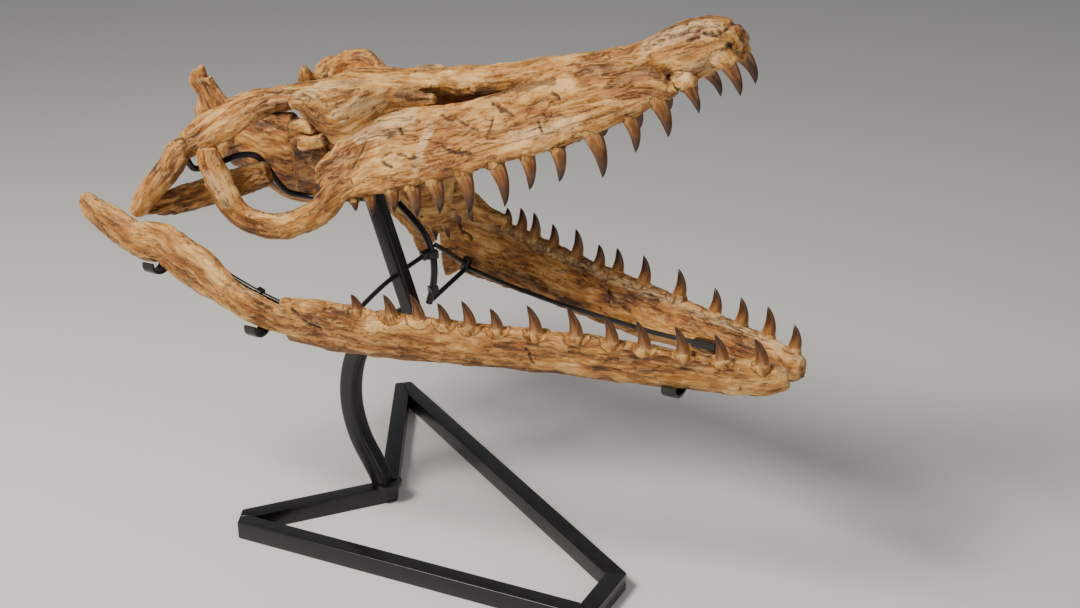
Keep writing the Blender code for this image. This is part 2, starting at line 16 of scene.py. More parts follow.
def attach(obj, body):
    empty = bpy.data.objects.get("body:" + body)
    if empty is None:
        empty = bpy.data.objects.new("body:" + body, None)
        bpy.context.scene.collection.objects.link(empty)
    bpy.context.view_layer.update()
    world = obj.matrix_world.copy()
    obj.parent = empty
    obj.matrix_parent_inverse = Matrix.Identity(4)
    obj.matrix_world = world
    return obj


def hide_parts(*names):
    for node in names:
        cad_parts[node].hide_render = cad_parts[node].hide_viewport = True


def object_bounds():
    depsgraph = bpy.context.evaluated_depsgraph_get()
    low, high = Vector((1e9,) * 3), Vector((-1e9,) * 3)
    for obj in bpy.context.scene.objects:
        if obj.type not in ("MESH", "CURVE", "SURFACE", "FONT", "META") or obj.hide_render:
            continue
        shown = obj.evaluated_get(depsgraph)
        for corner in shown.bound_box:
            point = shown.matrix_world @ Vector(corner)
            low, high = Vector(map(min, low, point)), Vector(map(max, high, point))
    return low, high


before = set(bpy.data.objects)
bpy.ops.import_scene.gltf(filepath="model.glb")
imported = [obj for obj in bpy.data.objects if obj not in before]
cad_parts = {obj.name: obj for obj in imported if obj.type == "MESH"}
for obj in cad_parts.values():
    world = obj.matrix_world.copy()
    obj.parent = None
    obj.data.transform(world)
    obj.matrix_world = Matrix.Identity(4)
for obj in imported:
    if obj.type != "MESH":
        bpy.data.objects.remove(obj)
cad_box = [list(corner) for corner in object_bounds()]

# %% [markdown]
# ## Where the skull's parts are measured from
# The cranium was measured lying level, so its tables have their own frame: along the snout, out to the
# side, and up. One matrix tips it nose-up at the jaw joint. The left lower jaw sags a little more than
# the right one and has a matrix of its own. Everything else is measured from the floor.

# %% Name the sizes and frames
MM = 0.001
LEFT, RIGHT = 1, -1
FOOT = (-5.0, -2.0, 0.0)  # the stand's foot under the post, which is the room's origin
CRANIUM_JOINT = (-251.5, 1.0, 466.0)
CRANIUM_PITCH, CRANIUM_ROLL = 14.0, 4.5
LEFT_JAW_PITCH, LEFT_JAW_PIVOT, LEFT_JAW_RISE = 2.0, (260.0, 0.0, 350.0), 3.0
VOXEL = 1.4  # width of the cells that fuse a bone's pieces, mm


def placed(at, degrees):
    """A frame's matrix, from millimetres in the frame to metres in the room."""
    turn = Euler([math.radians(angle) for angle in degrees]).to_matrix().to_4x4()
    return Matrix.Translation((Vector(at) - Vector(FOOT)) * MM) @ turn @ Matrix.Scale(MM, 4)


room_frame = placed((0, 0, 0), (0, 0, 0))
cranium_frame = placed(CRANIUM_JOINT, (CRANIUM_ROLL, -CRANIUM_PITCH, 0))
sag = Euler((0, math.radians(LEFT_JAW_PITCH), 0)).to_matrix()
left_jaw_start = Vector(LEFT_JAW_PIVOT) - sag @ Vector(LEFT_JAW_PIVOT) + Vector((0, 0, LEFT_JAW_RISE))
left_jaw_frame = placed(left_jaw_start, (0, LEFT_JAW_PITCH, 0))
print("the jaw joint is", round(CRANIUM_JOINT[2]), "mm above the floor")

# %% [markdown]
# ## Lofting a bone
# A long bone is easiest to describe the way an anatomist draws it: a few cross-sections along its
# length. `stations` fills in a smooth curve between them, and `loft` puts an oval ring at each one.
# The alternative, pushing the points of a box about by hand, would give a lumpier and less exact form.

# %% Smooth stations
def steady_slopes(run, values):
    """Slopes that never let a width swing past the stations it was measured at."""
    rise = np.diff(values, axis=0) / np.diff(run)[:, None]
    before, after = rise[:-1], rise[1:]
    same = before * after > 0
    middle = np.where(same, 2 * before * after / np.where(same, before + after, 1), 0)
    return np.vstack([rise[:1], middle, rise[-1:]])


def stations(table, step):
    """The rows (x, y, z, a, b, lean) of a table, filled in every few millimetres."""
    rows = np.array([list(row) + [0.0] * (6 - len(row)) for row in table], float)
    run = np.r_[0, np.cumsum(np.linalg.norm(np.diff(rows[:, :3], axis=0), axis=1))]
    slopes = np.hstack([np.gradient(rows[:, :3], run, axis=0), steady_slopes(run, rows[:, 3:])])
    places = np.linspace(0, run[-1], max(4, int(run[-1] / step)))
    i = np.clip(np.searchsorted(run, places, side="right") - 1, 0, len(run) - 2)
    gap = (run[i + 1] - run[i])[:, None]
    t = (places - run[i])[:, None] / gap
    filled = (2 * t**3 - 3 * t**2 + 1) * rows[i] + (t**3 - 2 * t**2 + t) * gap * slopes[i]
    filled += (3 * t**2 - 2 * t**3) * rows[i + 1] + (t**3 - t**2) * gap * slopes[i + 1]
    return filled, places


# %% Rings along the stations
def loft(table, side=LEFT, across=(0, 1, 0), lean=None, facing=None, sides=28, square=2.2, step=3.0, turn=0.0):
    """A closed tube of oval rings, with the line it follows, for the grain to run along later."""
    rows, run = stations(table, step)
    centre, half = rows[:, :3], rows[:, 3:5]
    along = np.tile(np.array(facing, float), (len(rows), 1)) if facing else np.gradient(centre, run, axis=0)
    along /= np.linalg.norm(along, axis=1)[:, None]
    first, second = Vector(table[0][:3]), Vector(table[1][:3])
    upward = 1 if Vector(across).cross(second - first).z > 0 else -1
    out = np.array(across, float) - along * (along @ np.array(across, float))[:, None]
    out /= np.linalg.norm(out, axis=1)[:, None]
    up = np.cross(out, along) * upward
    tip = np.radians(rows[:, 5] if lean is None else np.full(len(rows), float(lean)))[:, None]
    out, up = out * np.cos(tip) - up * np.sin(tip), up * np.cos(tip) + out * np.sin(tip)
    angle = 2 * math.pi * (np.arange(sides) + turn) / sides
    wave = [np.sign(f) * np.abs(f) ** (2 / square) for f in (np.cos(angle), np.sin(angle))]
    rings = centre[:, None] + out[:, None] * (half[:, None, :1] * wave[0][None, :, None])
    rings = rings + up[:, None] * (half[:, None, 1:] * wave[1][None, :, None])
    points = rings.reshape(-1, 3) * (1, side, 1)
    count = len(rows)
    faces = [list(range(sides))[::-1], [(count - 1) * sides + j for j in range(sides)]]
    for i in range(count - 1):
        for j in range(sides):
            k = (j + 1) % sides
            faces.append([i * sides + j, i * sides + k, (i + 1) * sides + k, (i + 1) * sides + j])
    line = {"centre": centre, "out": out, "up": up, "run": run, "width": half.mean(axis=1), "side": side}
    return {"points": points, "faces": faces, "line": line}


sample = loft([(0, 0, 0, 5, 5), (50, 0, 10, 8, 6), (90, 0, 0, 3, 3)])
print("a sample loft has", len(sample["faces"]), "faces")

# %% [markdown]
# ## A random field that repeats
# Bone is never smooth. Grain, flakes and cracks all start from the same thing: a field of soft random
# values in space. Blender's own noise textures would do for paint, but here the noise has to move the
# surface itself, so it is written in numpy. The values come from a fixed hash and not from a random
# generator, so every run gives the same skull.

# %% Soft noise in numpy
def corner_pull(cell, offset, seed):
    """The random slope at a lattice corner, times how far the point is from it."""
    n = cell[:, 0] * 374761393 + cell[:, 1] * 668265263 + cell[:, 2] * 1440670441 + seed * 69069
    n = (n ^ (n >> 13)) * 1274126177
    n = n ^ (n >> 16)
    slopes = np.stack([(n >> shift & 1023) / 511.5 - 1 for shift in (0, 10, 20)], axis=1)
    return (slopes * offset).sum(axis=1)


def noise(points, seed=0, octaves=1):
    """Soft noise, about -1 to 1, with one hump for each unit of distance."""
    total, strength = np.zeros(len(points)), 1.0
    for octave in range(octaves):
        scaled = points * 2.03**octave + seed * 17.3 + octave * 5.1
        cell = np.floor(scaled).astype(np.int64)
        part = scaled - cell
        ease = part**3 * (part * (part * 6 - 15) + 10)
        for corner in range(8):
            step = np.array([corner & 1, corner >> 1 & 1, corner >> 2 & 1])
            weight = np.where(step, ease, 1 - ease).prod(axis=1)
            total += strength * weight * corner_pull(cell + step, part - step, seed + octave)
        strength *= 0.5
    return total * 1.5


def soft_step(values, low, high):
    t = np.clip((values - low) / (high - low), 0, 1)
    return t * t * (3 - 2 * t)


test = noise(np.random.default_rng(1).uniform(0, 40, (2000, 3)), octaves=3)
print("noise runs from", round(test.min(), 2), "to", round(test.max(), 2))

# %% [markdown]
# ## Fusing a bone and finding its grain
# A real bone is one surface, but its loft, its tooth sockets and its processes are separate tubes.
# The Remesh modifier in voxel mode melts closed shells into one skin of even squares, which is just
# what the carving needs next. It throws away any mapping, so afterwards each point looks up the line
# of the nearest loft, and remembers how far along it lies. That is the direction in which bone splits.

# %% Fuse and map
def add_object(name, data):
    made = bpy.data.objects.new(name, data)
    bpy.context.scene.collection.objects.link(made)
    return made


def shells_to_object(name, shells):
    work = bmesh.new()
    for shell in shells:
        corners = [work.verts.new(point) for point in shell["points"]]
        for face in shell["faces"]:
            work.faces.new([corners[i] for i in face])
    bmesh.ops.recalc_face_normals(work, faces=work.faces)
    mesh = bpy.data.meshes.new(name)
    work.to_mesh(mesh)
    work.free()
    return add_object(name, mesh)


def apply_modifiers(made):
    bpy.context.view_layer.update()
    mesh = bpy.data.meshes.new_from_object(made.evaluated_get(bpy.context.evaluated_depsgraph_get()))
    made.modifiers.clear()
    made.data = mesh


def fuse(name, shells):
    made = shells_to_object(name, shells)
    melt = made.modifiers.new("Melt", "REMESH")
    melt.mode = "VOXEL"
    melt.voxel_size = VOXEL
    relax = made.modifiers.new("Relax", "SMOOTH")
    relax.factor = 0.5
    relax.iterations = 2
    apply_modifiers(made)
    return made


def points_of(mesh):
    points, normals = np.empty(len(mesh.vertices) * 3), np.empty(len(mesh.vertices) * 3, np.float32)
    mesh.vertices.foreach_get("co", points)
    mesh.vertex_normals.foreach_get("vector", normals)
    return points.reshape(-1, 3), normals.reshape(-1, 3).astype(float)


BATCH = 20000  # points that are looked up at once
APART = 400  # shift between the grain of one loft and the next, mm


def grain_of(points, shells):
    """(along, out, up) of each point in the curved frame of the loft that it lies nearest to."""
    best, found = np.full(len(points), np.inf), np.zeros((len(points), 3))
    for number, shell in enumerate(shells):
        line = shell["line"]
        turned = points * (1, line["side"], 1)
        for start in range(0, len(points), BATCH):
            part = slice(start, start + BATCH)
            off = turned[part, None] - line["centre"][None]
            nearest = np.linalg.norm(off, axis=2).argmin(axis=1)
            off = off[np.arange(len(off)), nearest]
            far = np.linalg.norm(off, axis=1) - line["width"][nearest]
            here = np.stack([
                line["run"][nearest] + APART * number,
                (off * line["out"][nearest]).sum(axis=1), (off * line["up"][nearest]).sum(axis=1),
            ], axis=1)
            closer = far < best[part]
            best[part] = np.where(closer, far, best[part])
            found[part] = np.where(closer[:, None], here, found[part])
    return found


# %% [markdown]
# ## Carving
# Fossil bone carries four marks, from large to small: soft dents where it was crushed, a streaky grain
# along its length, plates of the outer skin that flaked away, and cracks and pits. They are pushed into
# the mesh itself, so that they catch the light at the outline too. `line_distance` lets the same code
# cut a chosen crack or suture along a few points.

# %% Carve the surface
def line_distance(points, path):
    """How far each point is from a chain of straight pieces. A path of (along, up) is seen from the side."""
    best = np.full(len(points), np.inf)
    path = np.array(path, float)
    if path.shape[1] == 2:
        bend = noise(points / 16, 3, 2)[:, None] * (2.5, 2.5)
        points = points[:, [0, 2]] + bend
    for start, end in zip(path, path[1:]):
        run = end - start
        share = np.clip((points - start) @ run / (run @ run), 0, 1)
        best = np.minimum(best, np.linalg.norm(points - start - share[:, None] * run, axis=1))
    return best


def carve(made, shells, seed, rough=1.0, cuts=()):
    """Pushes the marks into the mesh, and keeps them as attributes for the paint."""
    points, normals = points_of(made.data)
    grain = grain_of(points, shells)
    place = grain / (34, 17, 17)
    dents = noise(points / 26, seed, 2)
    streaks = noise(grain / (30, 4.2, 4.2), seed + 1, 2)
    fine = noise(grain / (12, 2.6, 2.6), seed + 6, 2)
    flakes = soft_step(noise(place * (1.3, 1.6, 1.6), seed + 2, 3), 0.05, 0.20)
    split = noise(grain / (70, 10, 10) + 0.10 * fine[:, None], seed + 3, 2)
    cracks = np.exp(-((split / 0.045) ** 2)) * soft_step(noise(points / 24, seed + 4, 2), 0.02, 0.40)
    holes = soft_step(noise(points / 5.5, seed + 5), 0.62, 0.95)
    push = 1.5 * dents + 0.55 * streaks + 0.30 * fine + 0.95 * flakes - 1.25 * cracks - 1.3 * holes
    # These marks are later painted near-black: dark seams with painted shade deep in them.
    marks = np.clip(0.8 * cracks + 0.5 * holes, 0, 1)
    for path, width, depth in cuts:
        wander = noise(points / 6, seed + 7, 3) * width
        near = np.exp(-((np.maximum(line_distance(points, path) + wander, 0) / width) ** 2))
        push -= depth * near / rough
        marks = np.maximum(marks, near * (depth > 0))
    moved = points + normals * (push * rough)[:, None]
    made.data.vertices.foreach_set("co", moved.ravel())
    made.data.update()
    # This relief serves twice: pale rubbed wear on ridges, and painted shade in hollows.
    edge_wear_and_hollow_shade = curvature(made.data, moved)
    return {"grain": grain, "marks": marks, "flakes": flakes, "edge_wear_and_hollow_shade": edge_wear_and_hollow_shade, "points": moved}


def curvature(mesh, points):
    """How far each point stands out from its neighbours, in millimetres, smoothed a little."""
    ends = np.empty(len(mesh.edges) * 2, np.int64)
    mesh.edges.foreach_get("vertices", ends)
    ends = ends.reshape(-1, 2)
    normals = points_of(mesh)[1]

    def around(values):
        total, count = np.zeros_like(values), np.zeros(len(points))
        for a, b in ((0, 1), (1, 0)):
            np.add.at(total, ends[:, a], values[ends[:, b]])
            np.add.at(count, ends[:, a], 1)
        return total / (count[:, None] if values.ndim == 2 else count)

    smooth = points
    for _ in range(4):
        smooth = around(smooth)
    lift = ((points - smooth) * normals).sum(axis=1)
    return around(around(lift))


# %% [markdown]
# ## Tooth crowns
# A mosasaur's tooth is a curved cone with a cutting edge front and back, on a swollen bony base. The
# crowns stay separate from the melted bone, because their smooth, sharp enamel would be lost in the
# voxels. Each base, though, goes into the melt, so that it grows out of the jaw.

# %% Crown and socket
CROWN_SIDES, CROWN_START, CROWN_FLAT = 24, -0.15, 0.85  # it starts inside the bone, and is narrower across the jaw
CROWN_SHAPE = ((-0.15, 1.25), (0, 1.18), (0.35, 0.94), (0.75, 0.52), (0.93, 0.24), (1.0, 0.04))  # (length, radius)
SOCKET_DEPTH = 9.0


def crown(base, tip, radius, bulge=(0, 0, 0), side=LEFT):
    """A crown from inside the bone to its point, a little flattened across the jaw."""
    start, end, out = np.array(base, float), np.array(tip, float), np.array(bulge, float)
    rows = []
    for share in np.linspace(CROWN_START, 1, 9):
        middle = start + (end - start) * share + out * 4 * share * (1 - share)
        size = float(np.interp(share, *zip(*CROWN_SHAPE)))
        rows.append((*middle, radius * size * CROWN_FLAT, radius * size))
    shell = loft(rows, side, sides=CROWN_SIDES, square=1.85, step=1.6)
    rings = len(shell["points"]) // CROWN_SIDES
    shell["share"] = np.repeat(np.linspace(CROWN_START, 1, rings), CROWN_SIDES)
    return shell


def socket(base, tip, radius, side, rise=7.0):
    """The bony base of a tooth: a short swelling along the tooth's own axis."""
    start = np.array(base, float)
    along = np.array(tip, float) - start
    along /= np.linalg.norm(along)
    rows = []
    shape = ((-SOCKET_DEPTH, 0.9), (-0.4 * SOCKET_DEPTH, 1.2), (0.3 * rise, 1.22), (0.75 * rise, 1.08), (rise, 0.85))
    for reach, size in shape:
        rows.append((*(start + along * reach), radius * size * 0.92, radius * size))
    return loft(rows, side, sides=20, step=2.0)


# %% [markdown]
# ## Putting a finished bone into the frame
# Paint needs to know where the surface is chalky, stained, cracked or worn, and where painted shade and
# painted highlight go. Attributes on the mesh carry that: they are worked out once, beside the shape they
# belong to, and any material may read them. The piece then rides on the stand's body and takes the place of its CAD
# node.

# %% Finish a bone
def put(mesh, name, values, kind="FLOAT"):
    layer = mesh.attributes.get(name) or mesh.attributes.new(name, kind, "POINT")
    layer.data.foreach_set("value" if kind == "FLOAT" else "vector", np.asarray(values, np.float32).ravel())


def patches(points, spots, seed):
    """A ragged mask, 0 to 1, round each chosen path (points, reach)."""
    mask = np.zeros(len(points))
    for path, reach in spots:
        near = line_distance(points, path) / reach
        mask = np.maximum(mask, 1 - soft_step(near, 0.25, 1.35))
    ragged = 0.5 * noise(points / 13, seed + 21, 3) * (mask > 0)
    return soft_step(mask + ragged, 0.25, 0.80)


# Bands below a loft's middle carry painted shade along a bone's underside, and bands above it a painted highlight along
# its top.
def band(table, side, share):
    """A path along a loft, above or below its middle by a share of its half height."""
    return [(row[0], side * row[1], row[2] + share * row[4]) for row in table]


low, high = (np.array(corner) for corner in cad_box)
bones = {}


def finish_bone(name, shells, where, seed, crowns=(), rough=1.0, cuts=(), chalk_and_highlight=(), stain_and_shade=(), tone=0.5):
    made = fuse(name, shells)
    found = carve(made, shells, seed, rough, cuts)
    mesh, points = made.data, found["points"]
    count = len(points)
    values = {
        "mark": found["marks"], "flake": found["flakes"], "edge_wear_and_hollow_shade": found["edge_wear_and_hollow_shade"],
        # The chalk mask also holds painted highlight along tops, and the stain mask painted shade along undersides and
        # in joins.
        "chalk_and_highlight": patches(points, chalk_and_highlight, seed), "stain_and_shade": patches(points, stain_and_shade, seed + 5), "share": np.zeros(count),
        "tone": np.full(count, float(tone)),
    }
    grain = found["grain"]
    if crowns:
        work = bmesh.new()
        work.from_mesh(mesh)
        for crown_shell in crowns:
            corners = [work.verts.new(point) for point in crown_shell["points"]]
            for face in crown_shell["faces"]:
                work.faces.new([corners[i] for i in face]).material_index = 1
            size = len(crown_shell["points"])
            values["share"] = np.r_[values["share"], crown_shell["share"]]
            for key in ("mark", "flake", "edge_wear_and_hollow_shade", "chalk_and_highlight", "stain_and_shade", "tone"):
                values[key] = np.r_[values[key], np.zeros(size)]
            grain = np.vstack([grain, grain_of(crown_shell["points"], [crown_shell])])
        work.to_mesh(mesh)
        work.free()
    for key, each in values.items():
        put(mesh, key, each)
    put(mesh, "grain", grain * MM, "FLOAT_VECTOR")
    mesh.transform(where)
    points = points_of(mesh)[0]
    mesh.vertices.foreach_set("co", np.clip(points, low, high).ravel())
    mesh.shade_smooth()
    mesh.update()
    made.name = f"bone_{name}"
    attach(made, "root")
    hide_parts(name)
    bones[name] = made
    print(f"{name}: {len(mesh.polygons)} faces, {len(crowns)} crowns")


# %% [markdown]
# ## Snout, maxillae and palate
# The premaxilla is a blunt bulb at the tip with a long thin bar that runs back between the nostrils.
# Each maxilla is a tall thin wall over a thick row of sockets. The vomers close the roof of the mouth.

# %% Upper jaw tables
PREMAXILLA = [
    (352, 0, 88, 10, 6), (400, 0, 76, 18, 16), (456, 0, 67, 21, 20), (549, 0, 63, 21, 20),
    (620, 0, 59, 23, 20), (650, 0, 58, 25, 23), (692, 0, 58, 30, 28), (740, 0, 65, 35, 34),
    (768, 0, 69, 34, 30), (788, 0, 68, 29, 22), (798, 0, 64, 21, 14), (804, 0, 60, 10, 7),
]
FIRST_SOCKET = [(770, 17, 62, 6, 6), (779, 19, 58, 12, 13), (788, 20, 52, 12, 13), (797, 20, 46, 7, 7)]
SECOND_SOCKET = [(722, 27, 42, 6, 6), (730, 28, 39, 10, 11), (740, 29, 36, 10, 11), (749, 29, 32, 6, 6)]
MAXILLA = [
    (722, 37, 28, 8, 8, -10), (700, 40, 37, 11, 22, -17), (660, 43, 37, 12, 34, -22),
    (620, 44, 37, 13, 42, -24), (560, 45, 29, 12, 48, -27), (513, 50, 20, 11, 43, -30),
    (460, 59, 17, 11, 43, -30), (400, 69, 14, 10, 47, -26), (350, 78, 17, 10, 50, -23),
    (313, 88, 13, 9, 47, -20), (280, 101, 0, 8, 34, -14), (262, 105, -4, 8, 26, -8), (249, 109, -14, 6, 14, -5),
]
TOOTH_MARGIN = [
    (727, 35, 33, 8, 8), (700, 43, 27, 11, 10), (617, 54, 7, 13, 12), (560, 59, -4, 13, 12),
    (500, 67, -10, 12, 11), (440, 76, -16, 12, 11), (380, 86, -22, 11, 10), (320, 96, -24, 11, 10),
    (280, 103, -25, 9, 9), (262, 107, -26, 6, 6),
]
VOMER = [
    (708, 0, 20, 10, 5), (680, 0, 22, 22, 8), (640, 0, 24, 26, 14), (600, 0, 24, 28, 20),
    (555, 0, 18, 31, 22), (500, 0, 2, 38, 10), (440, 0, -2, 46, 8), (380, 0, -7, 54, 8),
    (330, 0, -11, 58, 8), (296, 0, -13, 46, 6),
]
# (along, out, up, length, lean forward, radius) of each upper tooth, from the front
PREMAXILLARY_TEETH = [(785, 20, 53, 43, 12, 9), (735, 29, 37, 38, 12, 8)]
MAXILLARY_TEETH = [
    (702, 42, 25, 46, 7, 10), (666, 48, 12, 45, 0, 9), (615, 54, 1, 58, 4, 11), (568, 58, -12, 43, -6, 9),
    (528, 64, -17, 42, -6, 9), (485, 70, -20, 55, 0, 10), (440, 77, -24, 55, -6, 10),
    (399, 83, -30, 42, -3, 10), (368, 88, -31, 41, -4, 9), (340, 93, -31, 30, -5, 8),
    (307, 98, -33, 27, -2, 7), (285, 102, -35, 16, 0, 6),
]
LEFT_CROWN_SHARE = 0.62  # the left maxilla's crowns are broken short


def upper_teeth(rows, side, share=1.0):
    """(crowns, sockets) of a row of upper teeth."""
    crowns, sockets = [], []
    for along, out, up, length, forward, radius in rows:
        length *= share
        base, tip = (along, out, up), (along + forward * share, out + 4, up - length)
        crowns.append(crown(base, tip, radius, (0.12 * length, 2, 0), side))
        sockets.append(socket(base, tip, radius, side))
    return crowns, sockets


def pair(table, **how):
    return [loft(table, LEFT, **how), loft(table, RIGHT, **how)]


# %% Build the upper jaw
crowns_left, sockets_left = upper_teeth(PREMAXILLARY_TEETH, LEFT)
crowns_right, sockets_right = upper_teeth(PREMAXILLARY_TEETH, RIGHT)
shells = [loft(PREMAXILLA, sides=36)] + pair(FIRST_SOCKET) + pair(SECOND_SOCKET) + sockets_left + sockets_right
finish_bone(
    "premaxilla", shells, cranium_frame, 11, crowns_left + crowns_right, tone=0.55,
    cuts=[([(752, 83), (770, 88), (785, 84), (796, 86)], 2.6, 4.0), ([(796, -24, 68), (799, -20, 66)], 3.0, 4.0),
          ([(585, 45), (560, 62), (520, 61)], 1.5, 1.6)],
    chalk_and_highlight=[([(700, -20, 84), (780, -20, 92)], 16), ([(788, -24, 60), (740, -34, 45)], 10)],
    stain_and_shade=[([(430, -20, 52), (520, -21, 48), (590, -22, 50)], 12), ([(700, -30, 40), (720, -34, 48)], 11)],
)
# seen from the side: (path, width, depth) of each crack in a maxilla
MAXILLA_CUTS = [
    ([(362, 42), (370, 33)], 1.8, 2.4), ([(489, 47), (505, 38), (517, 30)], 1.9, 2.6),
    ([(420, 45), (446, 35), (472, 22)], 1.6, 2.2),
    ([(493, 34), (485, 10)], 1.0, 1.8), ([(552, 19), (559, 9)], 2.0, 2.6), ([(576, 51), (585, 43)], 1.8, 2.4),
    ([(423, 8), (461, -4)], 1.5, 2.0), ([(363, 11), (390, 0)], 1.6, 2.2), ([(339, 6), (352, -2)], 2.0, 2.6),
    ([(640, 30), (600, 22), (560, 27)], 1.0, 1.5), ([(318, 30), (300, 6)], 1.2, 1.8),
]
for word, side in (("left", LEFT), ("right", RIGHT)):
    crowns, sockets = upper_teeth(MAXILLARY_TEETH, side, LEFT_CROWN_SHARE if side == LEFT else 1.0)
    shells = [loft(MAXILLA, side, square=2.5), loft(TOOTH_MARGIN, side)] + sockets
    finish_bone(
        f"maxilla_{word}", shells, cranium_frame, 21 + side, crowns, tone=0.6, cuts=MAXILLA_CUTS,
        chalk_and_highlight=[([(290, 55), (330, 45), (372, 50)], 20), ([(405, 34), (384, -6)], 8), ([(520, 10), (600, 12)], 9)],
        stain_and_shade=[
            (band(TOOTH_MARGIN, side, -0.9)[:-1], 8), ([(352, 84), (395, 72), (445, 60)], 9),
            ([(452, 60), (520, 58), (580, 64)], 5), ([(720, 48), (690, 66)], 8),
        ],
    )
finish_bone("vomer", [loft(VOMER)], cranium_frame, 31, rough=0.8, tone=0.2)

# %% [markdown]
# ## Skull roof
# Behind the nostrils the roof is one broad shield. The frontal carries a small crest over the eye, the
# prefrontals stand in front of the eye as knobbly brows, and the parietal reaches back in two wings.

# %% Roof tables
PREFRONTAL = [
    (408, 46, 64, 5, 6, -30), (375, 52, 68, 8, 20, -32), (350, 63, 70, 9, 32, -34),
    (313, 79, 60, 9, 46, -27), (284, 87, 54, 9, 50, -22), (268, 90, 60, 9, 40, -24),
    (257, 90, 72, 9, 30, -26), (245, 89, 82, 9, 21, -28), (233, 87, 88, 7, 13, -30),
]
PREFRONTAL_BOSS = [(223, 88, 95, 6, 6), (235, 90, 96, 12, 12), (251, 89, 94, 12, 12), (263, 86, 91, 7, 7)]
FRONTAL = [
    (412, 0, 72, 10, 4), (375, 0, 77, 30, 9), (345, 0, 82, 42, 10), (310, 0, 84, 53, 10),
    (275, 0, 87, 62, 11), (245, 0, 91, 70, 12), (224, 0, 94, 73, 10), (211, 0, 94, 66, 6),
]
FRONTAL_CREST = [
    (186, 48, 98, 5, 5), (202, 49, 104, 9, 13), (226, 50, 107, 11, 20), (248, 50, 104, 11, 20),
    (266, 46, 97, 9, 12), (284, 40, 90, 7, 5),
]
PARIETAL = [
    (209, 0, 91, 54, 6), (190, 0, 90, 40, 10), (160, 0, 89, 26, 13), (120, 0, 89, 20, 13),
    (80, 0, 88, 20, 13), (50, 0, 87, 26, 13), (36, 0, 85, 20, 9),
]
# two splinters of bone that stick out into the eye opening
SPLINTERS = (
    [(240, 84, 61, 5, 8), (222, 79, 62, 6, 9), (205, 75, 61, 6, 9), (197, 74, 60, 5, 8)],
    [(252, 85, 41, 6, 8), (230, 78, 39, 7, 9), (212, 75, 40, 7, 10), (204, 74, 41, 6, 8)],
)
PARIETAL_WING = [(58, 8, 88, 9, 10), (42, 50, 84, 8, 11), (38, 92, 76, 7, 10), (49, 122, 70, 6, 8)]

LEFT_BROW_DROP = 20.0  # how far the left prefrontal is pushed down


def lowered(table, drop):
    return [(*row[:2], row[2] - drop, *row[3:]) for row in table]


# %% Build the roof
finish_bone(
    "frontal", [loft(FRONTAL, sides=36, square=2.6), loft(FRONTAL_CREST)], cranium_frame, 41, tone=0.62,
    chalk_and_highlight=[([(230, -50, 104), (275, -30, 100)], 22)], stain_and_shade=[([(224, -66, 86), (275, -58, 79)], 8)],
)
shells = [loft(PARIETAL, sides=36)] + pair(PARIETAL_WING, across=(1, 0, 0))
finish_bone("parietal", shells, cranium_frame, 43, tone=0.5, stain_and_shade=[([(150, 0, 72), (60, 0, 70)], 14)])
for word, side in (("left", LEFT), ("right", RIGHT)):
    drop = LEFT_BROW_DROP if side == LEFT else 0.0
    shells = [loft(lowered(PREFRONTAL, drop), side, square=2.5, facing=(1, 0, 0))]
    shells.append(loft(lowered(PREFRONTAL_BOSS, drop), side))
    shells += [loft(splinter, side, square=4) for splinter in SPLINTERS]
    finish_bone(
        f"prefrontal_{word}", shells, cranium_frame, 45 + side, tone=0.6,
        cuts=[([(262, 31), (280, 31), (298, 25)], 2.0, 3.5), ([(270, 24), (268, 10)], 1.1, 2.0)],
        chalk_and_highlight=[([(240, side * 92, 100), (262, side * 90, 92)], 14), ([(300, 72), (345, 80)], 14)],
        stain_and_shade=[([(236, side * 82, 84), (244, side * 80, 62), (262, side * 84, 20)], 9), ([(372, 80), (400, 70)], 8)],
    )

# %% [markdown]
# ## Cheek, temple and back of the skull
# Thin bars frame the eye and the temple opening: postorbitofrontal and squamosal above, jugal below.
# The quadrates hang at the back and carry the jaw joint. Between them stands the braincase, with a
# spike of crushed bone that was mounted upright.

# %% Cheek and braincase tables
POSTORBITAL = [
    (234, 74, 97, 8, 6), (213, 84, 100, 10, 9), (199, 92, 99, 10, 10), (177, 108, 95, 10, 11),
    (155, 122, 88, 10, 12), (129, 132, 81, 10, 13), (110, 138, 73, 9, 12), (99, 140, 69, 6, 8),
]
JUGAL = [
    (298, 108, -13, 5, 8), (273, 111, -20, 8, 15), (248, 115, -36, 9, 18), (200, 121, -53, 9, 17),
    (172, 123, -55, 10, 17), (147, 126, -50, 10, 17), (128, 132, -38, 10, 18), (115, 137, -18, 10, 20),
    (109, 139, 5, 10, 21), (107, 140, 29, 10, 21), (106, 140, 50, 10, 20), (108, 138, 65, 8, 14),
]
SQUAMOSAL = [
    (229, 74, 103, 5, 5), (196, 86, 107, 8, 8), (157, 95, 105, 9, 11), (127, 108, 95, 9, 13),
    (101, 130, 82, 9, 13), (86, 142, 76, 8, 11), (79, 147, 73, 6, 8),
]
SQUAMOSAL_HORN = [
    (84, 137, 72, 9, 8), (82, 126, 77, 13, 10), (86, 117, 90, 12, 8), (90, 114, 100, 7, 6), (92, 113, 107, 2, 2),
]
QUADRATE = [
    (84, 147, 78, 9, 8), (71, 152, 70, 12, 15), (59, 161, 55, 13, 17), (40, 172, 39, 13, 16),
    (20, 181, 24, 13, 14), (8, 187, 12, 13, 13), (-3, 190, 5, 9, 9),
]
QUADRATE_RAMUS = [
    (-2, 177, 4, 6, 7), (14, 171, 5, 9, 12), (37, 158, 5, 10, 17), (52, 140, 3, 10, 19),
    (70, 121, 3, 10, 19), (100, 104, 4, 10, 19), (125, 96, 7, 10, 19), (148, 88, 9, 10, 17),
]
